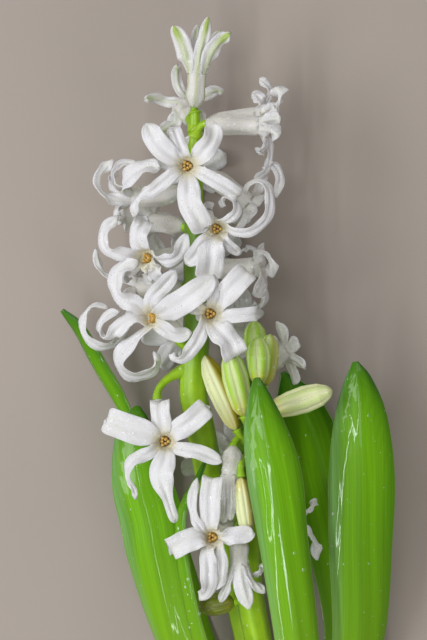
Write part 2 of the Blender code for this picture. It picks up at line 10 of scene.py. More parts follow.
import bmesh
import bpy
import numpy as np
from bpy.props import FloatProperty, FloatVectorProperty, IntProperty, PointerProperty
from mathutils import Matrix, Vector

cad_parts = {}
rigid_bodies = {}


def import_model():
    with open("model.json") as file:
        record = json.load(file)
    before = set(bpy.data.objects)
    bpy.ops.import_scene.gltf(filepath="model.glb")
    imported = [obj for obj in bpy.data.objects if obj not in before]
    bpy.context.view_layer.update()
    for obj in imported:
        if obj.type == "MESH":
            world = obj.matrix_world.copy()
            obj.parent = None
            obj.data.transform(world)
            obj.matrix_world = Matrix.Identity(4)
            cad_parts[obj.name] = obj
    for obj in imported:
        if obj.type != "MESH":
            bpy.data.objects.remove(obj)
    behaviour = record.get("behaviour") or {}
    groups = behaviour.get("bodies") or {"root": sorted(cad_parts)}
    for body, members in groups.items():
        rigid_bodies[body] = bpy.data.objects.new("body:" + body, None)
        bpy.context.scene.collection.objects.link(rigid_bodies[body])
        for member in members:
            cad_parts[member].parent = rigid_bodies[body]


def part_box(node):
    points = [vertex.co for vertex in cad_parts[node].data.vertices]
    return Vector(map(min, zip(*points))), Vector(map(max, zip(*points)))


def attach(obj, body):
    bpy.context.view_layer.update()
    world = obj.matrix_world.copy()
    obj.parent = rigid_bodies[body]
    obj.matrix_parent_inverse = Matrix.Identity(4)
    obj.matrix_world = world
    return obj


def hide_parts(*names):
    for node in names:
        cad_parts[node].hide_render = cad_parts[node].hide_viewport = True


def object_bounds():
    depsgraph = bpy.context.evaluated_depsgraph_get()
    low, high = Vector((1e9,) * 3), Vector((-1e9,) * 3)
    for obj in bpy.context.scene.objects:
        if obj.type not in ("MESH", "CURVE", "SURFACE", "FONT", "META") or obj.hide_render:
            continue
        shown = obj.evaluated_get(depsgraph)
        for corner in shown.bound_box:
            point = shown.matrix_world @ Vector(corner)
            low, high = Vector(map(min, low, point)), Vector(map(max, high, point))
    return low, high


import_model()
CAD_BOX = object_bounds()

bl_info = {
    "name": "Picked hyacinth",
    "version": (1, 0, 0),
    "blender": (4, 5, 0),
    "location": "View3D > Sidebar > Hyacinth",
    "description": "Makes the petals, stamens, buds, stalks, leaves, neck and dew of a picked white hyacinth",
    "category": "Add Mesh",
}

MM = 0.001
UP = np.array([0.0, 0.0, 1.0])
NORTH = np.array([0.0, 1.0, 0.0])

# Florets: a tube of six sectors, each of which runs on into a lobe.
THROAT_RADIUS = 2.6
TUBE_RADII = ((0.0, 1.5), (0.28, 2.9), (0.62, 2.6), (1.0, THROAT_RADIUS))
CUP = ((1.0, 0.985, 0.96, 0.93, 0.89, 0.84, 0.79, 0.76), (0.0, 0.28, 0.6, 0.85, 1.0, 1.1, 1.2, 1.5))
FLARE = 24.0                    # angle at which a lobe leaves the throat
SPREAD = 78.0                   # angle that an open lobe reaches before it curls back
LOBE_WIDTHS = ((12, 45, 80), (1.95, 2.7, 3.7))    # half width of a lobe, by how far it curls
SHORT_LOBE_WIDTH = 0.3          # most that the half width may be of a short lobe's length
LOBE_HOLLOW = (30.0, 14.0, 30.0)   # half angle of a lobe's cross-section at its root, middle and tip
SECTOR_COLUMNS = 12             # faces across one lobe
LOBE_ROWS = 44
NECKED = 0.5                    # a lobe that starts to narrow before this share has a neck and a round foot
BEND_WEIGHT = 6.0               # how strongly a lobe turns its inner face away from the inside of a bend
TUBE_ROWS = 16
FINE_STEPS = 121                # steps in which a midrib is summed
COURSE_STEPS = 60               # steps in which the tube's radii are read
ANTHER_ROWS = 9
ANTHER_SIDES = 12
BUD_ROWS = 46
BUD_SIDES = 72
BUD_SHAPE = ((0, 0.05, 0.14, 0.34, 0.58, 0.8, 0.94, 0.985, 1), (0.2, 0.5, 0.76, 0.93, 1, 0.86, 0.5, 0.24,
                                                                0.05))

# Leaves and stalks.
LEAF_EDGE = 0.9
LEAF_CROWN = 1.5                # how much thicker a leaf is along its middle
LEAF_ROWS = 150
LEAF_COLUMNS = 40
STALK_ROWS = 220
STALK_SIDES = 48
PEDICEL_RADIUS = 1.35
PEDICEL_SIDES = 20
PEDICEL_ROWS = 26
AXIS_STEPS = 200                # steps in which a stalk's axis is read

# The stage, in metres.
FLOOR_HALF = 3.0
AIM_HEIGHT = 0.03               # the height above the plant's own frame from which the distance is measured
CAMERA_DISTANCE = 1.0667

# The cut neck.
NECK_CENTRE = np.array([19.0, -149.7, 16.0])
NECK_LENGTH = 12.0
NECK_RADIUS = 15.4
NECK_GAP = 0.3
NECK_SIDES = 96
NECK_RINGS = 44                 # rows across each end of the neck

# Dew.
DROP_SIDES = 7
DROP_LEVELS = ((1.0, -0.15), (0.85, 0.22), (0.5, 0.42))    # a drop's rings: width and height, by its radius
DROP_ENDS = (-0.15, 0.5)        # its bottom and top
DEW_LOWEST = -0.3               # a face that looks further down than this has no drops

# Stalks: x, y, z, radius at each station, from the neck up.
STALKS = {
    "stalk_main": (
        (14.5, -149.7, 13.0, 4.3), (14.5, -122.0, 14.5, 4.3), (10.4, -96.0, 16.5, 4.3),
        (1.5, -60.0, 22.0, 4.3), (-3.9, -33.0, 26.5, 4.3), (-6.2, -20.0, 27.5, 4.2),
        (-5.0, 0.0, 28.0, 4.0), (-5.6, 24.0, 28.0, 3.3), (-5.5, 45.0, 28.0, 2.1), (-5.6, 63.0, 28.0, 1.5),
    ),
    "stalk_side": (
        (23.4, -149.7, 18.5, 4.1), (20.0, -125.0, 22.0, 4.1), (13.4, -96.0, 27.0, 4.1),
        (10.4, -78.0, 29.5, 4.1), (10.3, -60.0, 31.0, 4.0), (10.4, -40.0, 32.0, 3.7),
        (11.6, -25.0, 32.3, 2.8), (12.3, -15.2, 32.3, 1.6),
    ),
}

# Leaves: x, y, z, half width, direction of the outer face round Y, half angle of the hollow.
LEAVES = {
    "leaf_left_narrow": (
        (13.8, -149.7, 4.9, 5.3, -115, 25), (4.0, -122.0, 4.0, 6.0, -118, 22), (-7.0, -96.0, 3.0, 6.5, -112,
                                                                                20),
        (-13.0, -72.0, 3.2, 6.5, -125, 20), (-19.5, -45.0, 6.5, 6.0, -165, 22), (-28.5, -25.5, 11.5, 4.6,
                                                                                 -205, 22),
        (-35.3, -13.5, 14.0, 4.0, -212, 24), (-41.0, -3.0, 15.5, 3.0, -215, 28),
        (-46.0, 3.0, 16.0, 0.8, -215, 32),
    ),
    "leaf_left_broad": (
        (6.85, -149.7, 14.9, 5.3, 185, 25), (-2.0, -125.0, 20.0, 6.4, 158, 22), (-11.5, -96.0, 25.0, 7.9,
                                                                                 120, 20),
        (-16.8, -72.0, 29.0, 9.6, 103, 20), (-18.9, -60.0, 30.0, 9.9, 100, 20), (-22.0, -48.0, 30.5, 9.2,
                                                                                 98, 22),
        (-23.5, -36.0, 29.0, 7.0, 98, 28), (-23.3, -29.0, 27.5, 3.6, 98, 36), (-23.0, -26.0, 26.5, 0.9, 98,
                                                                               40),
    ),
    "leaf_folded": (
        (12.0, -149.7, 26.0, 5.3, 125, 25), (5.0, -122.0, 34.0, 5.0, 135, 28), (-4.5, -96.0, 38.0, 4.0, 150,
                                                                                32),
        (-9.5, -72.0, 38.5, 3.5, 160, 36), (-10.0, -60.0, 38.5, 3.2, 163, 38), (-8.5, -54.0, 38.0, 2.8, 163,
                                                                                38),
        (-5.0, -47.5, 37.5, 1.8, 160, 38), (-2.3, -42.0, 37.0, 0.7, 160, 38),
    ),
    "leaf_front": (
        (24.2, -149.7, 27.1, 5.3, 65, 25), (27.5, -125.0, 37.0, 6.0, 72, 22), (25.0, -96.0, 45.0, 6.7, 82,
                                                                               20),
        (20.8, -66.0, 50.0, 7.4, 88, 22), (18.0, -46.2, 52.0, 8.3, 90, 24), (14.9, -31.8, 52.0, 6.5, 95, 30),
        (13.3, -22.0, 50.5, 3.4, 98, 38), (12.8, -17.1, 49.0, 0.9, 98, 40),
    ),
    "leaf_behind": (
        (26.0, -149.7, 6.0, 5.3, -55, 25), (36.5, -122.0, 4.0, 6.8, -72, 22), (42.0, -96.0, 2.6, 8.0, -85,
                                                                               20),
        (37.0, -66.0, 2.4, 9.0, -90, 20), (32.6, -48.0, 3.5, 9.3, -92, 20), (29.6, -36.0, 5.5, 8.7, -95, 22),
        (24.5, -24.0, 9.0, 6.6, -98, 28), (21.2, -16.0, 12.0, 0.9, -100, 34),
    ),
    "leaf_right": (
        (31.2, -149.7, 17.0, 5.3, 5, 25), (39.0, -125.0, 21.0, 6.8, 38, 22), (44.1, -96.0, 27.0, 8.5, 72, 20),
        (44.4, -66.0, 32.0, 10.0, 82, 22), (44.5, -46.2, 34.0, 10.2, 87, 24), (44.0, -28.8, 34.0, 8.2, 92,
                                                                               30),
        (43.2, -18.0, 32.5, 4.6, 95, 38), (42.5, -12.6, 31.0, 0.9, 95, 40),
    ),
}

# Florets: name, stalk, height at which the pedicel leaves it, foot of the tube, throat, direction faced,
# roll, and six lobes from the top one on. A lobe is (length, curl at the tip, direction anticlockwise from the
# top) or, where its points are listed, (half width, where it starts to narrow, how far its inner face looks up,
# points...).
FLORETS = (
    ("floret_top", "stalk_main", 62, (-5.8, 64.2, 28), (-4.9, 74.0, 30), (0.05, 1, 0.12), 0,
     ((1.9, 0.55, -1, (-4.2, 79.5, 33.2), (-2.8, 85, 33.8), (-1.6, 90.5, 32.8)),
      (2.7, 0.55, -0.8, (-1.4, 78.3, 33), (1.2, 82.6, 33.8), (4.9, 85.6, 34.5)),
      (1.6, 0.55, 1, (-1.6, 79.5, 28.5), (0.2, 84.2, 27.8), (1.7, 87.2, 27)),
      (1.8, 0.55, 1, (-4.2, 80, 26.5), (-3.2, 84.6, 26), (-2.4, 88.2, 26)),
      (1.5, 0.55, 1, (-6.3, 80, 27.8), (-5.6, 85, 27.3), (-4.8, 88.8, 27.2)),
      (2.7, 0.55, -0.8, (-8.2, 78.3, 32.2), (-9.6, 83, 32.6), (-12, 88, 33)))),
    ("floret_top_back", "stalk_main", 57, (-7.2, 60.5, 24), (-9.0, 65, 16), (-0.45, 0.55, -0.7), 0,
     ((1.7, 0.6, -1, (-10.6, 71, 13.5), (-11.2, 74.5, 15), (-11, 77.5, 18)),
      (1.9, 0.6, -1, (-5, 67.5, 13), (-1.5, 69, 14), (1, 70, 17), (2.6, 68.6, 19)),
      (9, 150, 120), (9, 150, 180),
      (2.2, 0.6, -1, (-11.5, 60.5, 13), (-14, 58.5, 14.5), (-16.5, 56.5, 18)),
      (1.7, 0.6, -1, (-14, 66.5, 13), (-17.5, 67.5, 14.5), (-20.8, 67, 18)))),
    ("floret_top_right", "stalk_main", 55, (-2.4, 58.8, 29), (13.8, 58.2, 30), (1, -0.04, 0.12), 0,
     ((2.2, 0.85, 0.5, (15.8, 61.8, 31), (18.4, 64, 31.5)),
      (2.2, 0.8, -1, (17, 60, 33), (20, 60.4, 33.5)),
      (2.6, 0.8, -1, (16.8, 56.8, 33.2), (19.8, 55.2, 33.8)),
      (1.7, 0.85, 0.5, (15.6, 54.4, 31), (15, 51.8, 31.5), (13.2, 49.8, 32)),
      (1.4, 0.7, 0.9, (16.3, 53.5, 27.5), (17, 49.5, 26.5), (15.6, 45.2, 26), (12.2, 42, 26.5)),
      (2.0, 0.85, 0.8, (16.4, 60, 27), (19.4, 59.2, 26.5)))),
    ("floret_back_right", "stalk_main", 51, (-3.2, 58.0, 23.5), (12.6, 61.4, 23), (1, 0.1, 0.0), 0,
     ((2.2, 0.5, 0.7, (14.4, 65, 23.5), (13.6, 67, 23.5), (11.9, 68.8, 23)),
      (3.1, 0.85, -0.8, (17, 63.4, 26), (20, 66, 27), (19.6, 70.2, 26.5)),
      (6, 70, 120), (6, 70, 180), (6, 70, 240),
      (1.5, 0.8, 0.8, (16, 66, 21), (17, 69.5, 21.5), (14.2, 73.2, 22)))),
    ("floret_upper_front", "stalk_main", 46, (-6.6, 47, 32), (-7.7, 45.6, 46), (-0.03, 0.02, 1), 0,
     ((2.1, 0.85, 1, (-8.8, 49, 48.5), (-10.2, 52.5, 49), (-11.6, 56, 47.5), (-11.9, 56.2, 44.5)),
      (3.4, 0.6, 1, (-12.2, 48.2, 48.5), (-16.5, 52.3, 49.5), (-19.8, 58, 48)),
      (2.2, 0.5, 0.5, (-12, 43, 48.5), (-17.5, 38.5, 49), (-22, 35.5, 48), (-23.8, 30.5, 46)),
      (3.7, 0.8, 1, (-7.4, 40, 48.5), (-6.8, 34.5, 49.5), (-4, 28.8, 48.5), (-3, 27, 45.5)),
      (2.3, 0.8, 1, (-3, 43, 48.5), (2.5, 40, 49), (6.6, 37.4, 47.5), (7.2, 36.9, 45)),
      (3.3, 0.6, 1, (-4, 48.5, 48.5), (-0.8, 52.8, 49.5), (0.2, 58, 48)))),
    ("floret_upper_left", "stalk_main", 38, (-9.5, 39, 29), (-25.0, 36.8, 31), (-0.97, 0.08, 0.2), 0,
     ((1.9, 0.6, 0.6, (-29, 40.5, 31), (-30, 44.5, 31.5), (-26.8, 46.8, 32), (-22.5, 46.3, 32.5)),
      (2.0, 0.55, 0.6, (-29, 39, 28), (-31, 42, 26.5), (-29, 44.5, 25.5)),
      (2.0, 0.55, 0.6, (-27.5, 33.5, 28), (-28.8, 31, 27), (-27.5, 29, 26)),
      (2.0, 0.55, 0.6, (-27.8, 33.8, 32), (-29, 32.4, 33), (-28.7, 30.4, 34)),
      (2.3, 0.6, -0.5, (-29.5, 36.2, 34.5), (-33.6, 38.2, 35.5), (-34.2, 43, 35.5), (-30.2, 47.8, 35)),
      (3.2, 0.6, 0.4, (-26.8, 40, 35), (-24.3, 43.3, 37.5), (-20, 45.5, 39), (-15.8, 45.4, 39.5)))),
    ("floret_mid_right", "stalk_main", 29, (-2.2, 29.5, 32), (1.2, 27.0, 43), (0.25, -0.08, 0.95), 0,
     ((1.9, 0.6, 1, (4, 29.5, 45.5), (6.6, 32, 46), (6.3, 35.3, 45), (3.5, 36.5, 44), (2.3, 33.5, 43.5)),
      (1.8, 0.6, 0.8, (-1, 30, 45), (-2.5, 32.5, 44.5), (0, 34.5, 43.5)),
      (2.6, 0.6, 1, (-2.8, 23, 45), (-5.5, 19.2, 45), (-8, 16.6, 43)),
      (4.2, 0.8, 1, (-0.4, 22.2, 45.5), (-1, 17.2, 46), (-2, 11.6, 44.5)),
      (1.6, 0.6, 1, (3.4, 23.5, 44.5), (5.5, 21.3, 44.5), (8, 19.6, 43)),
      (1.9, 0.6, 0.8, (6, 26.2, 45), (10.5, 26.2, 45.5), (15, 29.2, 45), (16.6, 34, 44), (16, 39, 43),
       (13, 41.2, 42), (10.3, 40, 41), (9.6, 37.8, 40)))),
    ("floret_mid_left", "stalk_main", 20, (-8.8, 20, 31), (-20.0, 18.5, 39), (-0.6, 0.2, 0.75), 0,
     ((3.0, 0.8, 1, (-21.5, 21.8, 42), (-22.2, 25, 43.5), (-21, 28.5, 42.5), (-20.5, 29.5, 39.5)),
      (2.4, 0.55, 0.8, (-26, 19.5, 40.5), (-31.3, 20.8, 41.5), (-32.6, 25.5, 41.5), (-28.5, 31, 40)),
      (2.0, 0.6, 0.7, (-23.5, 15.8, 38), (-26, 14, 36), (-25.5, 11.5, 33.5)),
      (1.8, 0.6, 0.8, (-19.5, 14.5, 39.5), (-19.5, 12.3, 38.5), (-18.5, 11, 37)),
      (2.2, 0.6, 0.9, (-17.6, 15.3, 41), (-16.6, 13.3, 41), (-15, 12.6, 39.5)),
      (2.4, 0.6, 1, (-15.5, 17.8, 42), (-10.8, 19, 43.5), (-8, 25.5, 43)))),
    ("floret_left", "stalk_main", 10, (-9.2, 10, 26), (-22.5, 10.0, 21), (-0.9, 0.0, -0.35), 0,
     ((9, 120, 0), (9, 120, 60), (9, 120, 120),
      (1.8, 0.6, 0.7, (-24.5, 5, 22), (-26.5, -1, 25), (-29, -6, 29), (-33.5, -8, 32), (-38.3, -4.5, 33),
       (-38.8, 0, 33), (-36, 4.3, 33), (-31.5, 3.6, 33)),
      (8, 110, 240), (1.6, 0.55, -0.5, (-28, 13, 22), (-33, 13.8, 22), (-35, 18, 22.5), (-35.5, 21.5, 23)))),
    ("floret_lower_front", "stalk_main", 1, (-3.8, 1.5, 33), (-0.8, 1.8, 47), (0.06, -0.03, 1), 0,
     ((1.6, 0.6, 1, (-0.3, 6.2, 49.5), (0.3, 10, 50), (-0.3, 13.2, 49)),
      (2.2, 0.6, 1, (-5, 3.5, 48), (-8, 5, 47), (-11, 6, 45)),
      (2.3, 0.6, 1, (-3.2, -2.2, 49.5), (-5.5, -7.2, 50.5), (-9.5, -11.3, 50), (-13, -10.2, 48.5)),
      (4.0, 0.8, 1, (1, -2.4, 49.5), (4.2, -5.8, 50.5), (6, -9.6, 50), (6.3, -10.4, 47.5)),
      (2.2, 0.8, 1, (4, 1, 49.5), (8.5, 1.5, 50), (12, 1.8, 49), (12.4, 1.8, 46.5)),
      (3.6, 0.85, 1, (2.4, 6, 49.5), (5.8, 10, 50.5), (9.2, 13.6, 49.5), (9.7, 14, 47)))),
    ("floret_lower_left", "stalk_main", -8, (-10.6, -6, 32), (-18.5, 0.5, 38), (-0.8, -0.05, 0.6), 0,
     ((2.6, 0.6, 1, (-18.5, 6, 41.5), (-15, 10, 42.5), (-11, 14.5, 42)),
      (3.0, 0.6, 0.8, (-23, 4.6, 40), (-28.3, 7.6, 41), (-28.3, 14, 41), (-22.5, 17.7, 40)),
      (2.4, 0.6, 0.7, (-24, 0.8, 39.5), (-28.8, -3, 38.5), (-32, -5.5, 37), (-33.7, -2.5, 37), (-32, 1, 37.5),
       (-28, 2.8, 37.5)),
      (2.7, 0.55, 0.9, (-22.5, -5.2, 38.5), (-27, -9.6, 38.5), (-28, -13.6, 37), (-24, -16.6, 35.5),
       (-19, -15.6, 35), (-16.9, -12, 35), (-17.6, -9.5, 35.5)),
      (2.4, 0.6, 1, (-15.5, -2, 41.5), (-11.5, -4.2, 42), (-6.5, -4, 41)),
      (3.9, 0.6, 1, (-14.5, 2.5, 44.5), (-8.5, 5.8, 51), (-3.5, 9.5, 52), (0, 13, 50.5)))),
    ("floret_right", "stalk_main", 15, (-1.0, 15, 28), (12.5, 16, 29), (0.95, 0.1, 0.15), 0,
     ((1.2, 0.6, 0.5, (13.2, 20, 29), (11.5, 21.5, 29), (9, 21.2, 29)),
      (2.3, 0.6, -1, (14.5, 20.3, 32.5), (17, 17.8, 33.5), (17.4, 12.8, 32.5)),
      (12, 130, 135), (11, 130, 180), (10, 130, 240), (10, 130, 300))),
    ("floret_low", "stalk_main", -14, (-16.8, -24, 33), (-14.3, -36, 44), (0.02, -0.08, 1), 0,
     ((3.0, 0.85, 1, (-14.9, -32, 46), (-15.6, -28, 46.5), (-15.8, -24.8, 45.8), (-15.8, -24.4, 43)),
      (4.2, 0.85, 1, (-18.5, -34, 46.5), (-24, -32.2, 47.5), (-30, -30, 47), (-31.5, -29.4, 45.5)),
      (2.2, 0.42, 1, (-18.5, -39, 46.5), (-23.6, -41.5, 47.5), (-25.4, -46, 47), (-23.7, -50, 46),
       (-23, -53, 45.5)),
      (4.0, 0.38, 1, (-14, -40, 46.5), (-15.2, -46, 47.5), (-13.5, -53, 47), (-11.4, -59.5, 46)),
      (2.3, 0.65, 1, (-10.2, -38, 46.5), (-4.5, -39, 47.5), (2.4, -41.8, 46.5)),
      (3.4, 0.88, 1, (-11.5, -33.4, 46.5), (-7, -30, 47.5), (-3, -26.5, 47), (-2.4, -26, 45.5)))),
    ("floret_right_back", "stalk_main", 40, (-1.5, 44.0, 26), (10.5, 35.5, 22), (0.78, -0.58, -0.2), 0,
     ((1.8, 0.55, 0.8, (13.5, 39.5, 20), (15.5, 44, 22), (18, 46.5, 25), (19.9, 43, 26), (18.8, 36.8, 26)),
      (9, 110, 60), (9, 110, 120), (9, 110, 180), (9, 110, 240), (9, 110, 300))),
    ("floret_back_high", "stalk_main", 45, (-6.6, 44, 22), (-6.6, 45, 4), (0.0, 0.0, -1), 0,
     ((11, 150, 0), (11, 150, 60), (8, 160, 120), (11, 150, 180), (8, 165, 244), (11, 150, 300))),
    ("floret_back_left", "stalk_main", 28, (-8.9, 28, 24), (-18.5, 29.5, 15), (-0.75, 0.05, -0.65), 30,
     ((9, 120, 30), (11, 130, 90), (11, 130, 146), (9, 120, 207), (11, 130, 270), (11, 130, 330))),
    ("floret_back_mid", "stalk_main", 21, (-4.6, 20.5, 22), (-2.5, 19.5, 4), (0.0, 0.0, -1), 0,
     tuple((11, 150, 60 * k) for k in range(6))),
    ("floret_back_low", "stalk_main", 2, (-7.4, 0.0, 22), (-10.5, -4.5, 5), (-0.1, -0.1, -1), 30,
     ((11, 150, 30), (8, 160, 90), (11, 150, 150), (11, 150, 210), (11, 150, 270), (8, 160, 330))),
    ("floret_right_low", "stalk_main", 0, (-1.4, 0.0, 25), (7.5, -0.5, 15), (0.6, 0.0, -0.8), 0,
     ((11, 160, 0), (9, 170, 57), (8, 165, 124), (11, 160, 180), (8, 170, 240), (11, 160, 300))),
    ("floret_side_front", "stalk_side", -56, (5.2, -60, 37), (-0.3, -64.3, 46), (-0.15, -0.05, 0.98), 0,
     ((3.2, 0.9, 1, (-0.8, -60.5, 48), (-1, -54, 49), (-0.4, -47.6, 48.5), (-0.3, -47, 45.5)),
      (1.6, 0.6, 0.6, (-3.8, -61.5, 48), (-6, -57, 48.5), (-6, -51.5, 48), (-4.8, -46.8, 46.5)),
      (3.5, 0.9, 1, (-3.8, -64.2, 48.5), (-7.5, -65, 49.5), (-11.6, -67, 48.5), (-12.2, -67.4, 46.5)),
      (2.7, 0.65, 1, (-1.6, -68, 48), (-1.4, -74, 48.5), (-1.8, -79, 47.5), (-4, -82.6, 46)),
      (2.1, 0.65, 1, (1.8, -67.8, 47.5), (2.2, -73, 47.5), (0.8, -79.5, 46)),
      (2.7, 0.65, 1, (2.8, -64, 48), (6.5, -63.5, 48.5), (12, -63, 47.5)))),
    ("floret_side_hanging", "stalk_side", -34, (5.8, -38, 38.5), (5.2, -46, 40.5), (-0.05, -1, 0.0), 0,
     ((1.4, 0.7, -1, (5.2, -50, 43.3), (5.3, -54.5, 43.8), (5, -59.3, 43.3)),
      (1.7, 0.7, -0.8, (3.3, -50, 42.3), (3.2, -55, 42.8), (3, -60, 42.3)),
      (1.6, 0.6, 0.8, (3.2, -50, 38.5), (3.0, -54, 38), (3.2, -58, 37.5)),
      (1.6, 0.6, 0.8, (5.2, -50, 37.2), (5.6, -54, 36.6), (6, -58, 36.2)),
      (1.6, 0.6, 0.8, (7.4, -50, 38.5), (8, -54, 38.2), (8.4, -58, 38)),
      (1.5, 0.6, -0.8, (7.2, -49.5, 42), (7.9, -53, 42.2), (8.4, -57, 41.8)))),
    ("floret_side_low", "stalk_side", -62, (7.8, -65.5, 39.5), (7.6, -73, 42.5), (0.05, -1, 0.15), 0,
     ((2.6, 0.5, -1, (8.6, -79, 45.2), (10.6, -85.4, 44.8)),
      (1.4, 0.75, -0.6, (4.4, -78, 44.6), (1.9, -83.4, 44)),
      (1.3, 0.7, 0.6, (4.6, -76.5, 40.8), (3.2, -80.4, 40)),
      (1.5, 0.7, 1, (7.5, -77.5, 39.6), (8, -82, 39)),
      (1.4, 0.7, 0.6, (11, -75.6, 41), (13.6, -75, 41.2), (14.8, -72.6, 41)),
      (1.6, 0.65, -0.6, (11.2, -77, 44), (15.2, -80.8, 43)))),
    ("floret_side_right", "stalk_side", -55, (15.8, -57.5, 32), (22.5, -60.0, 33), (0.95, -0.15, 0.05), 0,
     ((8, 160, 0), (1.9, 0.6, -0.6, (26, -58, 35.5), (29, -56.5, 36), (30.5, -53.5, 35)),
      (2.0, 0.6, -0.6, (26.5, -62.5, 35.5), (30, -65.5, 36), (31, -71.5, 35)),
      (9, 160, 180), (9, 160, 240), (8, 160, 300))),
    ("floret_side_back", "stalk_side", -20, (16.2, -15.5, 29.5), (21.0, -10.3, 26), (0.75, 0.3, -0.5), 0,
     ((8, 115, 0), (7, 110, 60), (7, 110, 120), (8, 110, 180), (6, 110, 240), (7, 115, 300))),
    ("floret_side_behind", "stalk_side", -36, (9.4, -38.0, 26.5), (7.0, -40.0, 17), (-0.2, -0.1, -0.95), 0,
     ((11, 130, 0), (11, 130, 60), (11, 130, 120), (11, 130, 180),
      (2.8, 0.85, -1, (1, -42, 13), (-4, -44, 13), (-9.5, -45.5, 15)), (11, 130, 300))),
)

YOUNG = {"floret_top": 1.0, "floret_top_back": 0.5, "floret_side_low": 0.2, "floret_side_hanging": 0.15}

# Buds: name, stalk, height on it, foot, tip, radius, share of green (up to 2; above 1.2 it turns dark olive,
# painted shade for a bud that lies in shade) and share of painted shade, dark amber, on the east flank.
BUDS = (
    ("bud_cream_left", "stalk_side", -37, (6.8, -32.6, 37), (-2.6, -10.6, 39), 3.5, 0.1, 1.0),
    ("bud_green_mid", "stalk_side", -31, (9.0, -28.5, 39.5), (4.6, -8.8, 42.5), 3.8, 0.85, 0.0),
    ("bud_front", "stalk_side", -23, (13.4, -19.0, 40), (13.3, -5.0, 40.5), 3.6, 0.9, 0.0),
    ("bud_top", "stalk_side", -17, (12.6, -13.5, 32.5), (12.2, -0.2, 34), 3.4, 1.15, 0.0),
    ("bud_top_right", "stalk_side", -21, (15.2, -19.5, 35.5), (17.0, -4.2, 35), 3.2, 0.8, 0.5),
    ("bud_right", "stalk_side", -29, (16.5, -27.1, 35), (35.4, -21.0, 38), 3.9, 0.35, 0.0),
    ("bud_pale_low", "stalk_side", -42, (8.2, -46.5, 44.5), (10.2, -63.8, 45.5), 2.7, 0.1, 0.7),
    # bud_olive lies in shade: its green of 2.0 paints it dark olive, painted shade
    ("bud_olive", "stalk_side", -81, (6.2, -84.5, 31), (-4.6, -85.8, 31), 3.4, 2.0, 0.0),
)


def measure(name, description, default, smallest=0.0):
    """A length of the fine pieces, given in millimetres."""
    return FloatProperty(name=name, description=description, default=default * MM, min=smallest * MM,
                         unit="LENGTH")


def tint(name, description, default):
    """A colour of the fine pieces."""
    return FloatVectorProperty(name=name, description=description, subtype="COLOR", default=default)


class HyacinthSizes(bpy.types.PropertyGroup):
    """Sizes of the fine pieces."""

    petal_thickness: measure("Petal thickness", "Thickness of a lobe along its midrib", 0.6, 0.2)
    petal_groove: measure("Petal groove", "Depth of the channel along the midrib of a lobe", 0.42)
    petal_wave: measure("Petal wave", "How far the edges of a lobe wave in and out", 0.35)
    anther_length: measure("Anther length", "Length of one anther", 2.2, 0.5)
    vein_relief: measure("Leaf vein relief", "Height of the lengthwise veins of a leaf", 0.05)
    dew_radius: measure("Dew drop radius", "Radius of a common drop; a few are twice as wide", 0.25, 0.05)
    dew_on_florets: IntProperty(
        name="Drops on a floret", description="Number of drops scattered over each floret", default=170, min=0)


class HyacinthColours(bpy.types.PropertyGroup):
    """Colours of the fine pieces."""

    petal: tint("Petal", "Lit face of the petals", (0.88, 0.87, 0.89))
    # the throat colour is the cream of the throat and also painted shade deep in the tube
    throat: tint("Throat", "Inside of the tube and the roots of the lobes", (0.70, 0.66, 0.42))
    petal_green: tint("Green tip", "Tips and back ribs of young petals", (0.42, 0.56, 0.12))
    pollen: tint("Anther", "The anthers", (0.72, 0.42, 0.08))
    leaf: tint("Leaf", "Middle of a leaf", (0.145, 0.37, 0.002))
    leaf_dark: tint("Leaf edge", "Tips and edges of a leaf", (0.022, 0.13, 0.002))
    stalk: tint("Stalk", "Flower stalks and pedicels", (0.36, 0.60, 0.02))
    bud: tint("Bud", "Pale parts of a bud", (0.84, 0.88, 0.50))
    bud_green: tint("Bud stripe", "Ribs of a green bud", (0.42, 0.72, 0.03))
    neck: tint("Neck", "Scales of the cut bulb neck", (0.80, 0.76, 0.58))
    floor: tint("Floor", "The floor that the plant lies on", (0.43, 0.375, 0.335))


# ---------------------------------------------------------------- geometry


def unit(vectors):
    """Directions of length one."""
    vectors = np.asarray(vectors, float)
    return vectors / np.linalg.norm(vectors, axis=-1, keepdims=True)


def smooth_step(value):
    """0 below 0, 1 above 1, with level ends."""
    value = np.clip(value, 0.0, 1.0)
    return value * value * (3 - 2 * value)


def bell(value, middle, width):
    """A bump of height one round a middle value."""
    return np.exp(-((value - middle) / width) ** 2)


def blend(a, b, share):
    """a where share is 0, b where it is 1."""
    return a + (b - a) * share


def turns(count):
    """Even angles round a ring, in radians."""
    return np.arange(count) * 2 * math.pi / count


def smooth_path(stations, steps, start_at=0.0):
    """Points on the Catmull-Rom curve through listed stations, from station start_at on."""
    stations = np.asarray(stations, float)
    padded = np.vstack([2 * stations[0] - stations[1], stations, 2 * stations[-1] - stations[-2]])
    place = np.linspace(start_at, len(stations) - 1, steps)
    start = np.minimum(place.astype(int), len(stations) - 2)
    t = (place - start)[:, None]
    a, b, c, d = (padded[start + k] for k in range(4))
    return 0.5 * (2 * b + (c - a) * t + (2 * a - 5 * b + 4 * c - d) * t**2 + (3 * b - a - 3 * c + d) * t**3)


def read_along(value, at, rows):
    """Each column of rows, read at value by straight lines between the places at."""
    return np.stack([np.interp(value, at, column) for column in rows.T], axis=-1)


def bezier(points, steps):
    """Points of a quadratic curve, and its directions."""
    start, middle, end = (np.asarray(point, float) for point in points)
    t = np.asarray(steps, float)[:, None]
    place = (1 - t)**2 * start + 2 * t * (1 - t) * middle + t**2 * end
    return place, unit(2 * (1 - t) * (middle - start) + 2 * t * (end - middle))


def ring_grid(path, along, up, radius, angles):
    """Points round a path, square to it: rows along the path, columns round it. radius may differ at each."""
    across = unit(up - along * np.sum(along * up, axis=1)[:, None])
    other = np.cross(along, across)
    circle = np.cos(angles)[..., None] * across[:, None] + np.sin(angles)[..., None] * other[:, None]
    return path[:, None] + np.asarray(radius)[..., None] * circle


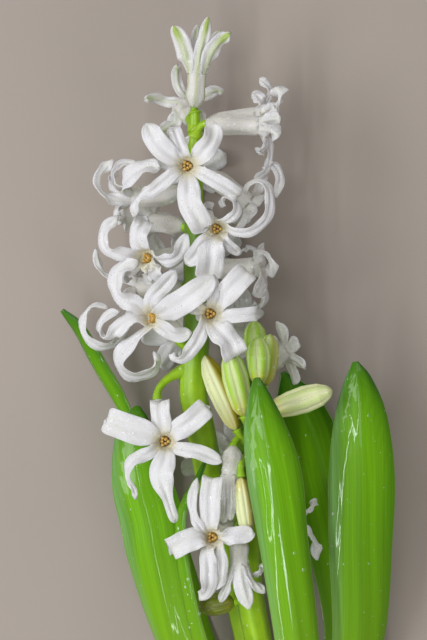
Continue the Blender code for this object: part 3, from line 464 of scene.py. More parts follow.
def quads(index, wrap=False):
    """Faces between the rows and columns of a grid of point numbers."""
    if wrap:
        index = np.concatenate([index, index[:, :1]], axis=1)
    return np.stack([index[:-1, :-1], index[:-1, 1:], index[1:, 1:], index[1:, :-1]], axis=-1).reshape(-1, 4)


def fan(point, ring):
    """Triangles from one point to a closed ring of points."""
    return np.stack([np.full(len(ring), point), ring, np.roll(ring, -1)], axis=-1)


def closed_tube(grid, marks=None):
    """Points, faces and marks of a tube of rows by columns, closed at each end by a fan."""
    rows, columns = grid.shape[:2]
    index = np.arange(rows * columns).reshape(rows, columns)
    points = np.vstack([grid.reshape(-1, 3), grid[0].mean(axis=0), grid[-1].mean(axis=0)])
    faces = [quads(index, wrap=True), fan(rows * columns, index[0]), fan(rows * columns + 1, index[-1])]
    values = {}
    for name, value in (marks or {}).items():
        value = np.broadcast_to(value, (rows, columns))
        values[name] = np.concatenate([value.ravel(), [value[0].mean(), value[-1].mean()]])
    return points, faces, values


def join(parts):
    """Several (points, faces, marks) as one, with the faces' numbers moved on."""
    points, faces, start = [], [], 0
    for part in parts:
        points.append(part[0])
        faces += [block + start for block in part[1]]
        start += len(part[0])
    marks = {name: np.concatenate([part[2][name] for part in parts]) for name in parts[0][2]}
    return np.vstack(points), faces, marks


def plant_origin():
    """Where the plant's own frame starts, in millimetres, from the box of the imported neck."""
    low, high = (np.array(corner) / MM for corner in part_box("neck"))
    return np.array([(low[0] + high[0]) / 2 - NECK_CENTRE[0], high[1] + NECK_GAP - NECK_CENTRE[1],
                     high[2] - NECK_RADIUS - NECK_CENTRE[2]])


def new_piece(name, part, material, replaced=()):
    """A smooth piece at the origin that rides on the plant, with a value per point for each mark."""
    points, faces, marks = part
    mesh = bpy.data.meshes.new(name)
    places = (points + plant_origin()) * MM
    mesh.from_pydata(places.tolist(), [], [face for block in faces for face in block.tolist()])
    for mark, values in marks.items():
        mesh.attributes.new(mark, "FLOAT", "POINT").data.foreach_set("value", values.astype(np.float32))
    work = bmesh.new()
    work.from_mesh(mesh)
    bmesh.ops.recalc_face_normals(work, faces=work.faces)
    work.to_mesh(mesh)
    work.free()
    mesh.shade_smooth()
    mesh.materials.append(material)
    piece = bpy.data.objects.new(name, mesh)
    bpy.context.scene.collection.objects.link(piece)
    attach(piece, "root")
    if replaced:
        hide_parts(*replaced)
    return piece


# ---------------------------------------------------------------- florets


def throat_frame(facing, roll):
    """A floret's axis and, square to it, its top and side directions."""
    axis = unit(facing)
    up = NORTH if abs(axis[1]) < 0.8 else UP
    up = unit(up - axis * (axis @ up))
    side = np.cross(axis, up)
    turn = math.radians(roll)
    return axis, math.cos(turn) * up + math.sin(turn) * side, math.cos(turn) * side - math.sin(turn) * up


def curled_course(throat, axis, out, side, lobe, bend):
    """Midrib, inner direction and length of a lobe given by its length, curl and sideways bend.

    It leaves the throat at the flare angle, spreads, bends sideways and curls on to its tip.
    """
    length, curl = lobe[:2]
    fine = np.linspace(0, 1, FINE_STEPS)
    flare, spread = min(FLARE, curl * 0.4), min(SPREAD, curl)
    tilt = np.radians(flare + (spread - flare) * smooth_step(fine / 0.32)
                      + np.clip((fine - 0.2) / 0.8, 0, 1)**1.2 * (curl - spread))
    sway = np.radians(bend) * smooth_step(fine / 0.35)
    outward = np.cos(sway)[:, None] * out + np.sin(sway)[:, None] * side
    lateral = np.cos(sway)[:, None] * side - np.sin(sway)[:, None] * out
    along = np.cos(tilt)[:, None] * axis + np.sin(tilt)[:, None] * outward
    steps = 0.5 * (along[1:] + along[:-1]) * length / (FINE_STEPS - 1)
    rib = np.vstack([np.zeros(3), np.cumsum(steps, axis=0)]) + throat + THROAT_RADIUS * out
    return rib, unit(blend(-out, np.cross(along, lateral), smooth_step(fine / 0.2)[:, None])), length


def drawn_course(throat, axis, out, face, points):
    """Midrib, inner direction and length of a lobe that follows listed points.

    It leaves the throat along the floret's axis. Its inner face is carried along without twisting, and turned,
    over the first part of the lobe, towards up (face 1) or down (face -1) and away from the inside of each bend.
    """
    root = throat + THROAT_RADIUS * out
    curve = smooth_path(np.vstack([root - 2 * axis, root, points]), FINE_STEPS * 3, 1.0)
    place = np.concatenate([[0], np.cumsum(np.linalg.norm(np.diff(curve, axis=0), axis=1))])
    fine = np.linspace(0, 1, FINE_STEPS)
    rib = read_along(fine * place[-1], place, curve)
    along = unit(np.gradient(rib, axis=0))
    bend = np.gradient(along, place[-1] / (FINE_STEPS - 1), axis=0)
    inward = [-out]
    for direction in along[1:]:
        inward.append(unit(inward[-1] - direction * (inward[-1] @ direction)))
    inward = np.array(inward)
    lateral = np.cross(inward, along)
    aim = face * UP - BEND_WEIGHT * bend
    held = 4 * (1 - smooth_step(fine / 0.3))
    level, tipped = (np.convolve(np.pad(np.sum(aim * part, axis=1) + extra, 10, "edge"), np.ones(21) / 21,
                                 "valid")
                     for part, extra in ((inward, held), (lateral, 0)))
    turn = np.unwrap(np.arctan2(tipped, level))[:, None]
    return rib, np.cos(turn) * inward + np.sin(turn) * lateral, place[-1]


def lobe_sheets(course, widest, narrows, sizes, draw):
    """Inner and outer face of a lobe round its course, as arrays of rows by columns by 3.

    Across it the section is an arc with a channel along the midrib and a ridge on each side of it; the edges
    wave, the whole section twists a little, and the tip is a fleshy knob.
    """
    rib, inward, length = course
    s = 0.5 * (1 - np.cos(np.linspace(0, math.pi, LOBE_ROWS)))
    rib, inward = (read_along(s, np.linspace(0, 1, FINE_STEPS), part) for part in (rib, inward))
    along = unit(np.gradient(rib, s, axis=0))
    inward = unit(inward - along * np.sum(inward * along, axis=1)[:, None])
    lateral = np.cross(inward, along)
    twist = (np.radians(draw.uniform(-10, 10)) * smooth_step(s / 0.9))[:, None]
    inward, lateral = (np.cos(twist) * inward - np.sin(twist) * lateral,
                       np.cos(twist) * lateral + np.sin(twist) * inward)
    s = s[:, None]
    t = np.linspace(-1, 1, SECTOR_COLUMNS + 1)[None, :]
    hollow = np.radians(np.interp(s, (0, 0.35, 1), LOBE_HOLLOW))
    root = THROAT_RADIUS * math.radians(LOBE_HOLLOW[0])
    reach = root + (widest - root) * (1 - (1 - np.clip(s / 0.42, 0, 1))**2)
    if narrows < NECKED:
        reach = reach * (1 - 0.6 * smooth_step((s - narrows) / 0.36))
        narrows = 0.88
    reach = np.maximum(reach * (1 - np.clip((s - narrows) / (1 - narrows), 0, 1)**3)**0.6, 0.12)
    grown = smooth_step(s / 0.3)
    groove = sizes.petal_groove / MM * grown * (1 - smooth_step((s - 0.75) / 0.25))
    channel = groove * (0.55 * bell(abs(t), 0.45, 0.2) - bell(t, 0, 0.2))
    beat = draw.uniform(0, 2 * math.pi, 2)
    wave = (sizes.petal_wave / MM * grown * abs(t)**3
            * np.sin(s * length * 0.75 + np.where(t > 0, beat[0], beat[1])))
    x = reach / hollow * np.sin(hollow * t)
    y = reach / hollow * (1 - np.cos(hollow * t)) + channel + wave
    ragged = 0.3 * smooth_step((s - 0.85) / 0.15) * (np.sin(6 * t + beat[0]) + 0.6 * np.sin(13 * t + beat[1]))
    middle = (rib[:, None] + x[..., None] * lateral[:, None] + y[..., None] * inward[:, None]
              + (ragged * min(widest / 3, 1))[..., None] * along[:, None])
    normal = np.cos(hollow * t)[..., None] * inward[:, None] - np.sin(hollow * t)[..., None] * lateral[:,
                                                                                                       None]
    wall = sizes.petal_thickness / MM / 2
    knob = 1 + draw.uniform(0.3, 1.3) * bell(s, 0.95, 0.06)
    half = blend(wall, wall * knob * (1 - 0.72 * abs(t)**2.5), grown)[..., None]
    return middle + half * normal, middle - half * normal


def floret_part(row, sizes, draw):
    """One floret as a closed skin: tube, open throat and six lobes, with its marks.

    The tube is a row of rings along its curved axis, and its six sectors run on into the lobes. A lobe's inner
    and outer face meet in a narrow rim.
    """
    name, _, _, foot, throat, facing, roll, lobes = row
    foot, throat = np.asarray(foot, float), np.asarray(throat, float)
    axis, up, side = throat_frame(facing, roll)
    curve = (foot, throat - axis * np.linalg.norm(throat - foot) * 0.5, throat)
    wall = sizes.petal_thickness / MM / 2
    around = 6 * SECTOR_COLUMNS
    angles = np.radians(-30 + np.arange(around) * 60 / SECTOR_COLUMNS)[None, :]

    shape = smooth_path(TUBE_RADII, COURSE_STEPS)
    u_out = np.linspace(0, 1, TUBE_ROWS)
    ribs = 1 + 0.05 * np.cos(6 * angles) * (np.sin(np.pi * u_out) ** 0.7)[:, None]
    radius = (np.interp(u_out, shape[:, 0], shape[:, 1]) + wall * u_out)[:, None] * ribs
    outer = ring_grid(*bezier(curve, u_out), up, radius, angles)
    u_in = np.array(CUP[0])
    cup = THROAT_RADIUS - wall - np.array(CUP[1])
    inner = ring_grid(*bezier(curve, u_in), up, cup[:, None] * np.ones_like(angles), angles)

    blocks, marks = [outer.reshape(-1, 3), inner.reshape(-1, 3)], []
    length = np.linalg.norm(throat - foot)
    for u, back in ((u_out[:, None], 1.0), (u_in[:, None], 0.0)):
        columns = ((u - 1) * length, np.sin(3 * angles), 0.0, back)
        marks.append(np.stack([column + 0 * u * angles for column in columns], axis=-1).reshape(-1, 4))
    outer_index = np.arange(outer.shape[0] * around).reshape(-1, around)
    inner_index = outer_index.size + np.arange(inner.shape[0] * around).reshape(-1, around)
    count = outer_index.size + inner_index.size
    blocks += [foot[None], inner[-1].mean(axis=0)[None]]
    marks.append(np.array([[-length, 0, 0, 1], [-length, 0, 0, 0]]))
    faces = [quads(outer_index, wrap=True), quads(inner_index, wrap=True),
             fan(count, outer_index[0]), fan(count + 1, inner_index[-1])]
    count += 2

    t = np.linspace(-1, 1, SECTOR_COLUMNS + 1)[None, :]
    s = 0.5 * (1 - np.cos(np.linspace(0, math.pi, LOBE_ROWS)))[1:, None]
    for k, lobe in enumerate(lobes):
        turn = k * math.pi / 3
        out = math.cos(turn) * up + math.sin(turn) * side
        across = math.cos(turn) * side - math.sin(turn) * up
        if len(lobe) == 3:
            course = curled_course(throat, axis, out, across, lobe,
                                   (lobe[2] - roll - 60 * k + 180) % 360 - 180)
            widest, narrows = min(np.interp(lobe[1], *LOBE_WIDTHS), SHORT_LOBE_WIDTH * lobe[0]), 0.55
        else:
            course = drawn_course(throat, axis, out, lobe[2], lobe[3:])
            widest, narrows = lobe[:2]
        sheets = lobe_sheets(course, widest, narrows, sizes, draw)
        roots = (k * SECTOR_COLUMNS + np.arange(SECTOR_COLUMNS + 1)) % around
        grids = []
        for sheet, root, back in zip(sheets, (inner_index[0], outer_index[-1]), (0.0, 1.0)):
            rest = count + np.arange((LOBE_ROWS - 1) * (SECTOR_COLUMNS + 1)).reshape(LOBE_ROWS - 1, -1)
            grids.append(np.vstack([root[roots], rest]))
            blocks.append(sheet[1:].reshape(-1, 3))
            marks.append(np.stack([s * course[2] + 0 * t, t + 0 * s, s + 0 * t, back + 0 * s * t],
                                  axis=-1).reshape(-1, 4))
            count += rest.size
        faces += [quads(grids[0]), quads(grids[1])]
        faces += [quads(np.stack([grids[0][:, c], grids[1][:, c]])) for c in (0, -1)]
        faces.append(quads(np.stack([grids[0][-1], grids[1][-1]])))
    marks = np.vstack(marks)
    values = {mark: marks[:, c] for c, mark in enumerate(("length", "across", "reach", "back"))}
    values["young"] = np.full(len(marks), YOUNG.get(name, 0.12))
    return np.vstack(blocks), faces, values


def stamens_part(row, sizes):
    """Six anthers in a ring inside the throat: slim grooved beans along the axis that lean inwards."""
    _, _, _, foot, throat, facing, roll, _ = row
    throat = np.asarray(throat, float)
    axis, up, side = throat_frame(facing, roll)
    length = sizes.anther_length / MM
    rows = np.linspace(0.03, 0.97, ANTHER_ROWS)
    bean = 0.6 * np.sin(np.pi * rows) ** 0.45
    angles = turns(ANTHER_SIDES)
    parts = []
    for k in range(6):
        turn = (k + 0.5) * math.pi / 3
        out = math.cos(turn) * up + math.sin(turn) * side
        lean = unit(axis + (0.1 - 0.3 * (k % 2)) * out + 0.15 * side)
        path = throat + 0.95 * out - axis * (length * 0.72 + 0.35 * (k % 2)) + rows[:, None] * length * lean
        groove = 1 - 0.22 * bell(np.cos(angles), 1, 0.25)
        grid = ring_grid(path, np.tile(lean, (len(rows), 1)), -out, bean[:, None] * groove[None, :],
                         angles[None, :])
        parts.append(closed_tube(grid, {"along": rows[:, None]}))
    return join(parts)


# ---------------------------------------------------------------- buds, stalks, leaves and neck


def bud_part(row):
    """A closed bud: an egg of six ribs with sharp furrows between its folded petals."""
    _, _, _, foot, tip, radius, green, amber = row
    foot, tip = np.asarray(foot, float), np.asarray(tip, float)
    u = np.linspace(0, 1, BUD_ROWS)[:, None]
    angles = turns(BUD_SIDES)
    swirl = angles[None, :] + 0.25 * u
    shape = np.interp(u, *BUD_SHAPE)
    wave = (swirl * 6 / (2 * math.pi)) % 1.0
    furrow = bell(np.minimum(wave, 1 - wave), 0, 0.1)
    rib = 0.05 * np.cos(2 * np.pi * (wave - 0.5)) - 0.09 * furrow + 0.05 * (wave - 0.5)
    grid_radius = radius * shape * (1 + rib * np.sin(np.pi * np.clip(u, 0.04, 1)) ** 0.4)
    path = foot + u * (tip - foot)
    along = np.tile(unit(tip - foot), (len(u), 1))
    grid = ring_grid(path, along, UP, grid_radius, angles[None, :])
    # amber is painted shade: it darkens the east flank, the side away from the key light
    east = (grid - path[:, None])[..., 0] / np.maximum(grid_radius, 0.1)
    marks = {"along": u, "rib": 1 - np.abs(wave - 0.5) * 2, "green": np.full_like(u, green),
             "amber": amber * smooth_step((east - 0.05) / 0.4)}
    return closed_tube(grid, marks)


def stalk_point(name, height):
    """The point of a stalk's axis at a height along Y."""
    line = smooth_path(STALKS[name], AXIS_STEPS)
    return read_along(height, line[:, 1], line[:, :3])


def pedicel_part(stalk, height, foot, direction):
    """A short flower stem that flares out of the stalk and swells below its floret."""
    root = stalk_point(stalk, height)
    end = np.asarray(foot, float) - unit(direction) * 0.05
    reach = np.linalg.norm(end - root)
    u = np.linspace(0, 1, PEDICEL_ROWS)
    path, along = bezier((root, end - unit(direction) * reach * 0.4, end), u)
    radius = PEDICEL_RADIUS * (0.8 + 0.9 * bell(u, 0, 0.3) + 0.25 * bell(u, 1, 0.14))
    angles = turns(PEDICEL_SIDES)
    up = UP if abs(unit(end - root)[2]) < 0.8 else NORTH
    grid = ring_grid(path, along, up, radius[:, None], angles[None, :])
    return closed_tube(grid, {"along": np.full((len(u), 1), 1.0), "ridge": np.cos(3 * angles)[None, :]})


def stalk_part(name):
    """A fleshy stalk with soft lengthwise ridges, and the pedicels that stand in it."""
    line = smooth_path(STALKS[name], STALK_ROWS)
    u = np.linspace(0, 1, STALK_ROWS)[:, None]
    angles = turns(STALK_SIDES)[None, :]
    ridge = np.cos(7 * angles + 1.5 * np.sin(5 * u))
    radius = line[:, 3:] * (1 + 0.022 * ridge + 0.012 * np.cos(19 * angles))
    grid = ring_grid(line[:, :3], unit(np.gradient(line[:, :3], axis=0)), UP, radius, angles)
    grid[0, :, 1] = line[0, 1]
    parts = [closed_tube(grid, {"along": u, "ridge": ridge})]
    for row in FLORETS:
        if row[1] == name:
            foot, throat = np.array(row[3], float), np.array(row[4], float)
            middle = throat - unit(row[5]) * np.linalg.norm(throat - foot) * 0.5
            parts.append(pedicel_part(name, row[2], foot, middle - foot))
    for row in BUDS:
        if row[1] == name:
            parts.append(pedicel_part(name, row[2], row[3], np.subtract(row[4], row[3])))
    return join(parts)


def leaf_part(stations, sizes):
    """A fleshy blade along its path: an arc across, thickest along its middle, with fine raised veins."""
    line = smooth_path(stations, LEAF_ROWS)
    path, half_width = line[:, :3], np.maximum(line[:, 3], 0.3)
    facing, hollow = np.radians(line[:, 4]), np.radians(line[:, 5])
    along = unit(np.gradient(path, axis=0))
    outer = np.stack([np.cos(facing), np.zeros(len(path)), np.sin(facing)], axis=1)
    outer = unit(outer - along * np.sum(along * outer, axis=1)[:, None])
    across = np.cross(along, outer)
    t = np.sin(np.linspace(-math.pi / 2, math.pi / 2, LEAF_COLUMNS + 1))
    arc = hollow[:, None] * t
    radius = (half_width / hollow)[:, None]
    middle = (path[:, None] + (radius * np.sin(arc))[..., None] * across[:, None]
              - (radius * (1 - np.cos(arc)))[..., None] * outer[:, None])
    normal = np.cos(arc)[..., None] * outer[:, None] + np.sin(arc)[..., None] * across[:, None]
    crown = np.minimum(LEAF_CROWN, 0.3 * half_width)[:, None]
    body = 0.5 * (LEAF_EDGE * np.sqrt(1 - 0.86 * t**8) + crown * (1 - t**2))
    veins = sizes.vein_relief / MM * np.cos(2 * math.pi * 2.2 * radius * arc) * (1 - t**4)
    keel = 0.25 * crown * bell(t, 0, 0.16)
    loop = np.concatenate([middle + (body + veins + keel)[..., None] * normal,
                           (middle - (body - 0.6 * keel)[..., None] * normal)[:, ::-1]], axis=1)
    loop[0, :, 1] = path[0, 1]
    u = np.linspace(0, 1, LEAF_ROWS)[:, None]
    t_loop = np.concatenate([t, t[::-1]])[None, :]
    outside = np.concatenate([np.ones_like(t), np.zeros_like(t)])[None, :]
    marks = {"along": u, "across": t_loop, "outside": outside, "width": half_width[:, None] * t_loop}
    return closed_tube(loop, marks)


def neck_part():
    """The cut neck of the bulb: a round block whose ends show the rings of its scales."""
    x, y, z = NECK_CENTRE
    half = np.array([(-NECK_LENGTH, 0.0), (-NECK_LENGTH, 0.9), (-NECK_LENGTH + 0.4, 0.96),
                     (-NECK_LENGTH + 1.2, 1.0),
                     (-1.2, 1.0), (-0.6, 0.985), (-NECK_GAP, 0.95), (-NECK_GAP, 0.0)])
    ends = [half[k] + (half[k + 1] - half[k]) * share for k in (0, 3, 6)
            for share in np.linspace(0, 1, NECK_RINGS, endpoint=False)[:, None]]
    profile = np.vstack([ends[:NECK_RINGS], half[1:3], ends[NECK_RINGS:2 * NECK_RINGS], half[4:6],
                         ends[2 * NECK_RINGS:], half[-1:]])
    profile[:, 1] = np.maximum(profile[:, 1], 0.004)
    angles = turns(NECK_SIDES)[None, :]
    share = profile[:, 1:]
    wobble = 0.04 * np.sin(2 * angles + 0.7) + 0.025 * np.sin(5 * angles)
    rings = np.sin(2 * math.pi * 7 * share * (1 + wobble))
    end = (np.abs(np.gradient(profile[:, 0])) < 0.02)[:, None]
    depth = profile[:, :1] + np.where(end, 0.25 * np.sign(-profile[:, :1] - NECK_LENGTH / 2) * (rings - 1),
                                      0.0)
    skin = 1 - np.where(end, 0.0, 0.006) * (1 + np.cos(31 * angles + 2 * np.sin(3 * angles)))
    radius = NECK_RADIUS * share * skin
    grid = np.stack([x + radius * np.sin(angles), y + depth + 0 * radius, z + radius * np.cos(angles)],
                    axis=-1)
    grid[..., 2] = np.maximum(grid[..., 2], z - NECK_RADIUS + 0.5)
    return closed_tube(grid, {"rings": rings + 0 * radius, "cut": end + 0 * radius})


# ---------------------------------------------------------------- dew


def dew_part(pieces, count, sizes, draw):
    """Drops sunk a little in the faces of pieces, more on those that look up.

    A drop is a flattened dome of three rings and a top, closed below, round the normal of the face it sits on.
    """
    centres, normals, weights = [], [], []
    for piece in pieces:
        polygons = piece.data.polygons
        centre, normal, area = (np.empty(len(polygons) * size) for size in (3, 3, 1))
        polygons.foreach_get("center", centre)
        polygons.foreach_get("normal", normal)
        polygons.foreach_get("area", area)
        centres.append(centre.reshape(-1, 3) / MM - plant_origin())
        normals.append(normal.reshape(-1, 3))
        weights.append(area / area.sum())
    centres, normals, weights = np.vstack(centres), np.vstack(normals), np.concatenate(weights)
    weights *= np.clip(normals @ UP - DEW_LOWEST, 0, 1)
    chosen = draw.choice(len(weights), count, replace=False, p=weights / weights.sum())
    centres, normals = centres[chosen], normals[chosen]
    radius = sizes.dew_radius / MM * (0.4 + 0.6 * draw.random(count) + 1.8 * draw.random(count)**7)
    across = unit(np.cross(normals, draw.normal(size=(count, 3))))
    other = np.cross(normals, across)
    angles = turns(DROP_SIDES)
    circle = np.cos(angles)[None, :, None] * across[:, None] + np.sin(angles)[None, :, None] * other[:, None]
    rings = [centres[:, None] + radius[:, None, None] * (wide * circle + high * normals[:, None])
             for wide, high in DROP_LEVELS]
    ends = [centres[:, None] + (radius * high)[:, None, None] * normals[:, None] for high in DROP_ENDS]
    points = np.concatenate(rings + ends, axis=1)
    index = np.arange(len(DROP_LEVELS) * DROP_SIDES).reshape(-1, DROP_SIDES)
    starts = (np.arange(count) * (index.size + 2))[:, None, None]
    shapes = [quads(index, wrap=True), fan(index.size, index[0]), fan(index.size + 1, index[-1])]
    faces = [(block[None] + starts).reshape(-1, block.shape[1]) for block in shapes]
    return points.reshape(-1, 3), faces, {}


# ---------------------------------------------------------------- finishes


class Finish:
    """A material while its nodes are wired. Each method adds one node and returns its output."""

    def __init__(self, name, **values):
        self.material = bpy.data.materials.new(name)
        self.material.use_nodes = True
        self.tree = self.material.node_tree
        self.shader = self.tree.nodes["Principled BSDF"]
        for socket, value in values.items():
            self.shader.inputs[socket.replace("_", " ")].default_value = value

    def wire(self, socket, value):
        """Joins a socket to an output, or gives it a plain value or colour."""
        if isinstance(value, bpy.types.NodeSocket):
            self.tree.links.new(value, socket)
        elif socket.type == "RGBA":
            socket.default_value = (*tuple(value)[:3], 1)
        else:
            socket.default_value = value

    def give(self, **values):
        """Joins outputs to the shader's sockets."""
        for socket, value in values.items():
            self.wire(self.shader.inputs[socket.replace("_", " ")], value)

    def mark(self, name):
        """A value kept on the mesh's points."""
        node = self.tree.nodes.new("ShaderNodeAttribute")
        node.attribute_name = name
        return node.outputs["Fac"]

    def place(self):
        """The point in the object's own coordinates."""
        return self.tree.nodes.new("ShaderNodeTexCoord").outputs["Object"]

    def westward(self):
        """How far the surface looks along -X: -1 where it looks fully that way."""
        geometry = self.tree.nodes.new("ShaderNodeNewGeometry")
        split = self.tree.nodes.new("ShaderNodeSeparateXYZ")
        self.wire(split.inputs[0], geometry.outputs["Normal"])
        return split.outputs["X"]

    def math(self, operation, first, second=0.0, clamp=False):
        """One sum."""
        node = self.tree.nodes.new("ShaderNodeMath")
        node.operation = operation
        node.use_clamp = clamp
        self.wire(node.inputs[0], first)
        self.wire(node.inputs[1], second)
        return node.outputs[0]

    def spread(self, value, low, high, to_low=0.0, to_high=1.0):
        """value taken smoothly from one range to another."""
        node = self.tree.nodes.new("ShaderNodeMapRange")
        node.interpolation_type = "SMOOTHSTEP"
        for k, part in enumerate((value, low, high, to_low, to_high)):
            self.wire(node.inputs[k], part)
        return node.outputs["Result"]

    def vector(self, x=0.0, y=0.0, z=0.0):
        """Three values as a place."""
        node = self.tree.nodes.new("ShaderNodeCombineXYZ")
        for k, part in enumerate((x, y, z)):
            self.wire(node.inputs[k], part)
        return node.outputs[0]

    def noise(self, place, scale, detail=2.0, rough=0.5):
        """Smooth noise between about 0.2 and 0.8."""
        node = self.tree.nodes.new("ShaderNodeTexNoise")
        self.wire(node.inputs["Vector"], place)
        for socket, value in (("Scale", scale), ("Detail", detail), ("Roughness", rough)):
            node.inputs[socket].default_value = value
        return node.outputs["Fac"]

    def cells(self, place, scale):
        """Distance to the nearest of many scattered points."""
        node = self.tree.nodes.new("ShaderNodeTexVoronoi")
        self.wire(node.inputs["Vector"], place)
        node.inputs["Scale"].default_value = scale
        return node.outputs["Distance"]

    def mix(self, share, first, second, kind="MIX"):
        """Two colours mixed."""
        node = self.tree.nodes.new("ShaderNodeMix")
        node.data_type = "RGBA"
        node.blend_type = kind
        colours = [socket for socket in node.inputs if socket.type == "RGBA"]
        self.wire(node.inputs["Factor"], share)
        self.wire(colours[0], first)
        self.wire(colours[1], second)
        return next(socket for socket in node.outputs if socket.type == "RGBA")

    def bump(self, height, strength, distance):
        """Relief given to the shader's normal."""
        node = self.tree.nodes.new("ShaderNodeBump")
        self.wire(node.inputs["Height"], height)
        node.inputs["Strength"].default_value = strength
        node.inputs["Distance"].default_value = distance * MM
        self.tree.links.new(node.outputs["Normal"], self.shader.inputs["Normal"])


def petal_finish(colours):
    """White petals: lengthwise veins, cream throats deepened with painted shade, green tips and back ribs while
    young, crystalline skin.
    """
    made = Finish("petal_white", Roughness=0.42, Subsurface_Weight=0.35, Subsurface_Scale=1.6 * MM,
                  Specular_IOR_Level=0.5, Subsurface_Radius=(1.0, 0.95, 0.75))
    across, length, back = made.mark("across"), made.mark("length"), made.mark("back")
    reach, young = made.mark("reach"), made.mark("young")
    veins = made.noise(made.vector(made.math("MULTIPLY", across, 7.0), made.math("MULTIPLY", length, 0.22)),
                       1.6, 3.0)
    cloud = made.noise(made.place(), 160, 2.0)
    colour = made.mix(made.spread(veins, 0.35, 0.7), [c * 0.93 for c in colours.petal], colours.petal)
    colour = made.mix(made.spread(cloud, 0.35, 0.75, 0.0, 0.28), colour, (0.80, 0.79, 0.74))
    # the throat colour, strongest inside the tube near the lobes' roots: the throat's cream, deepened as painted
    # shade in the recess
    root = made.math("MULTIPLY", made.spread(length, -1.0, 4.5, 0.85, 0.0), made.spread(back, 0.0, 1.0, 1.0,
                                                                                        0.25))
    colour = made.mix(root, colour, colours.throat)
    rib = made.spread(made.math("ABSOLUTE", across), 0.1, 0.75, 1.0, 0.0)
    tip = made.spread(reach, 0.55, 1.0)
    flush = made.math("ADD", made.math("MULTIPLY", tip, 0.8), made.math("MULTIPLY", back, 0.5))
    flush = made.math("MULTIPLY", made.math("MULTIPLY", flush, rib), young, clamp=True)
    colour = made.mix(flush, colour, colours.petal_green)
    made.give(Base_Color=colour, Roughness=made.spread(cloud, 0.3, 0.7, 0.36, 0.52))
    skin = made.cells(made.place(), 3600)
    made.bump(made.math("ADD", made.math("MULTIPLY", skin, 0.6), made.math("MULTIPLY", veins, 1.6)), 0.7,
              0.16)
    return made.material


def pollen_finish(colours):
    """Golden-brown anthers, dusted with pollen."""
    made = Finish("anther_gold", Roughness=0.7)
    dust = made.noise(made.place(), 2600, 3.0)
    colour = made.mix(made.spread(dust, 0.35, 0.65), [c * 0.55 for c in colours.pollen], colours.pollen)
    colour = made.mix(made.spread(made.mark("along"), 0.75, 1.0, 0.0, 0.6), colour, (0.75, 0.55, 0.20))
    made.give(Base_Color=colour)
    made.bump(dust, 0.6, 0.15)
    return made.material


def leaf_finish(colours):
    """Glossy green leaves: parallel veins, darker tips and edges, pale near the neck, thin light margin, painted
    reflection.
    """
    made = Finish("leaf_green", Specular_IOR_Level=0.18, Coat_Weight=0.4, Coat_Roughness=0.06,
                  Subsurface_Weight=0.04, Subsurface_Scale=1.0 * MM, Subsurface_Radius=(0.5, 1.0, 0.05))
    along, across, width = made.mark("along"), made.mark("across"), made.mark("width")
    lines = made.noise(made.vector(made.math("MULTIPLY", width, 2.4), made.math("MULTIPLY", along, 3.0)),
                       1.0, 3.0)
    bands = made.noise(made.vector(made.math("MULTIPLY", width, 0.35), made.math("MULTIPLY", along, 1.5)),
                       1.0, 1.0)
    edge = made.spread(made.math("ABSOLUTE", across), 0.45, 1.0)
    tip = made.spread(along, 0.62, 1.0)
    dark = made.math("ADD", made.math("MULTIPLY", edge, 0.45), made.math("MULTIPLY", tip, 0.75), clamp=True)
    colour = made.mix(made.spread(bands, 0.3, 0.7, 0.0, 0.6), colours.leaf, [c * 1.7 for c in colours.leaf])
    colour = made.mix(dark, colour, colours.leaf_dark)
    colour = made.mix(made.spread(lines, 0.35, 0.7, 0.22, 0.0), colour, colours.leaf_dark)
    # painted reflection: pale bluish green along the -across edge of the outer face, where the key light on the
    # west is mirrored
    painted_reflection = made.math("MULTIPLY", made.spread(across, -0.5, -0.9), made.spread(lines, 0.2, 0.6, 0.3, 1.0))
    painted_reflection = made.math("MULTIPLY", painted_reflection, made.spread(across, -0.92, -1.0, 0.5, 0.2))
    colour = made.mix(made.math("MULTIPLY", painted_reflection, made.mark("outside")), colour, (0.30, 0.55, 0.22))
    colour = made.mix(made.spread(along, 0.0, 0.5, 0.75, 0.0), colour, (0.26, 0.46, 0.02))
    colour = made.mix(made.spread(along, 0.0, 0.16, 0.7, 0.0), colour, (0.62, 0.66, 0.25))
    colour = made.mix(made.spread(made.math("ABSOLUTE", across), 0.965, 1.0, 0.0, 0.5), colour,
                      (0.45, 0.55, 0.20))
    made.give(Base_Color=colour, Roughness=made.spread(lines, 0.3, 0.7, 0.35, 0.55))
    made.bump(lines, 0.35, 0.2)
    return made.material


def stalk_finish(colours):
    """Juicy yellow-green stalks with fine lengthwise lines, paler towards the neck, and a band of painted shade.
    """
    made = Finish("stalk_green", Roughness=0.36, Subsurface_Weight=0.18, Subsurface_Scale=1.5 * MM,
                  Subsurface_Radius=(0.8, 1.0, 0.2))
    along, ridge = made.mark("along"), made.mark("ridge")
    mottle = made.noise(made.place(), 220, 3.0)
    colour = made.mix(made.spread(ridge, -1.0, 1.0, 0.0, 0.5), colours.stalk,
                      [c * 1.35 for c in colours.stalk])
    colour = made.mix(made.spread(mottle, 0.35, 0.7, 0.0, 0.35), colour, (0.14, 0.36, 0.01))
    # painted shade: a darker band between 55 and 90 per cent of each stalk's length, where florets and buds
    # shade it
    shade = made.math("MULTIPLY", made.spread(along, 0.55, 0.65), made.spread(along, 0.8, 0.9, 0.8, 0.0))
    colour = made.mix(shade, colour, (0.12, 0.28, 0.01))
    colour = made.mix(made.spread(along, 0.0, 0.3, 0.5, 0.0), colour, (0.60, 0.66, 0.22))
    made.give(Base_Color=colour)
    made.bump(made.noise(made.place(), 900, 3.0), 0.25, 0.1)
    return made.material


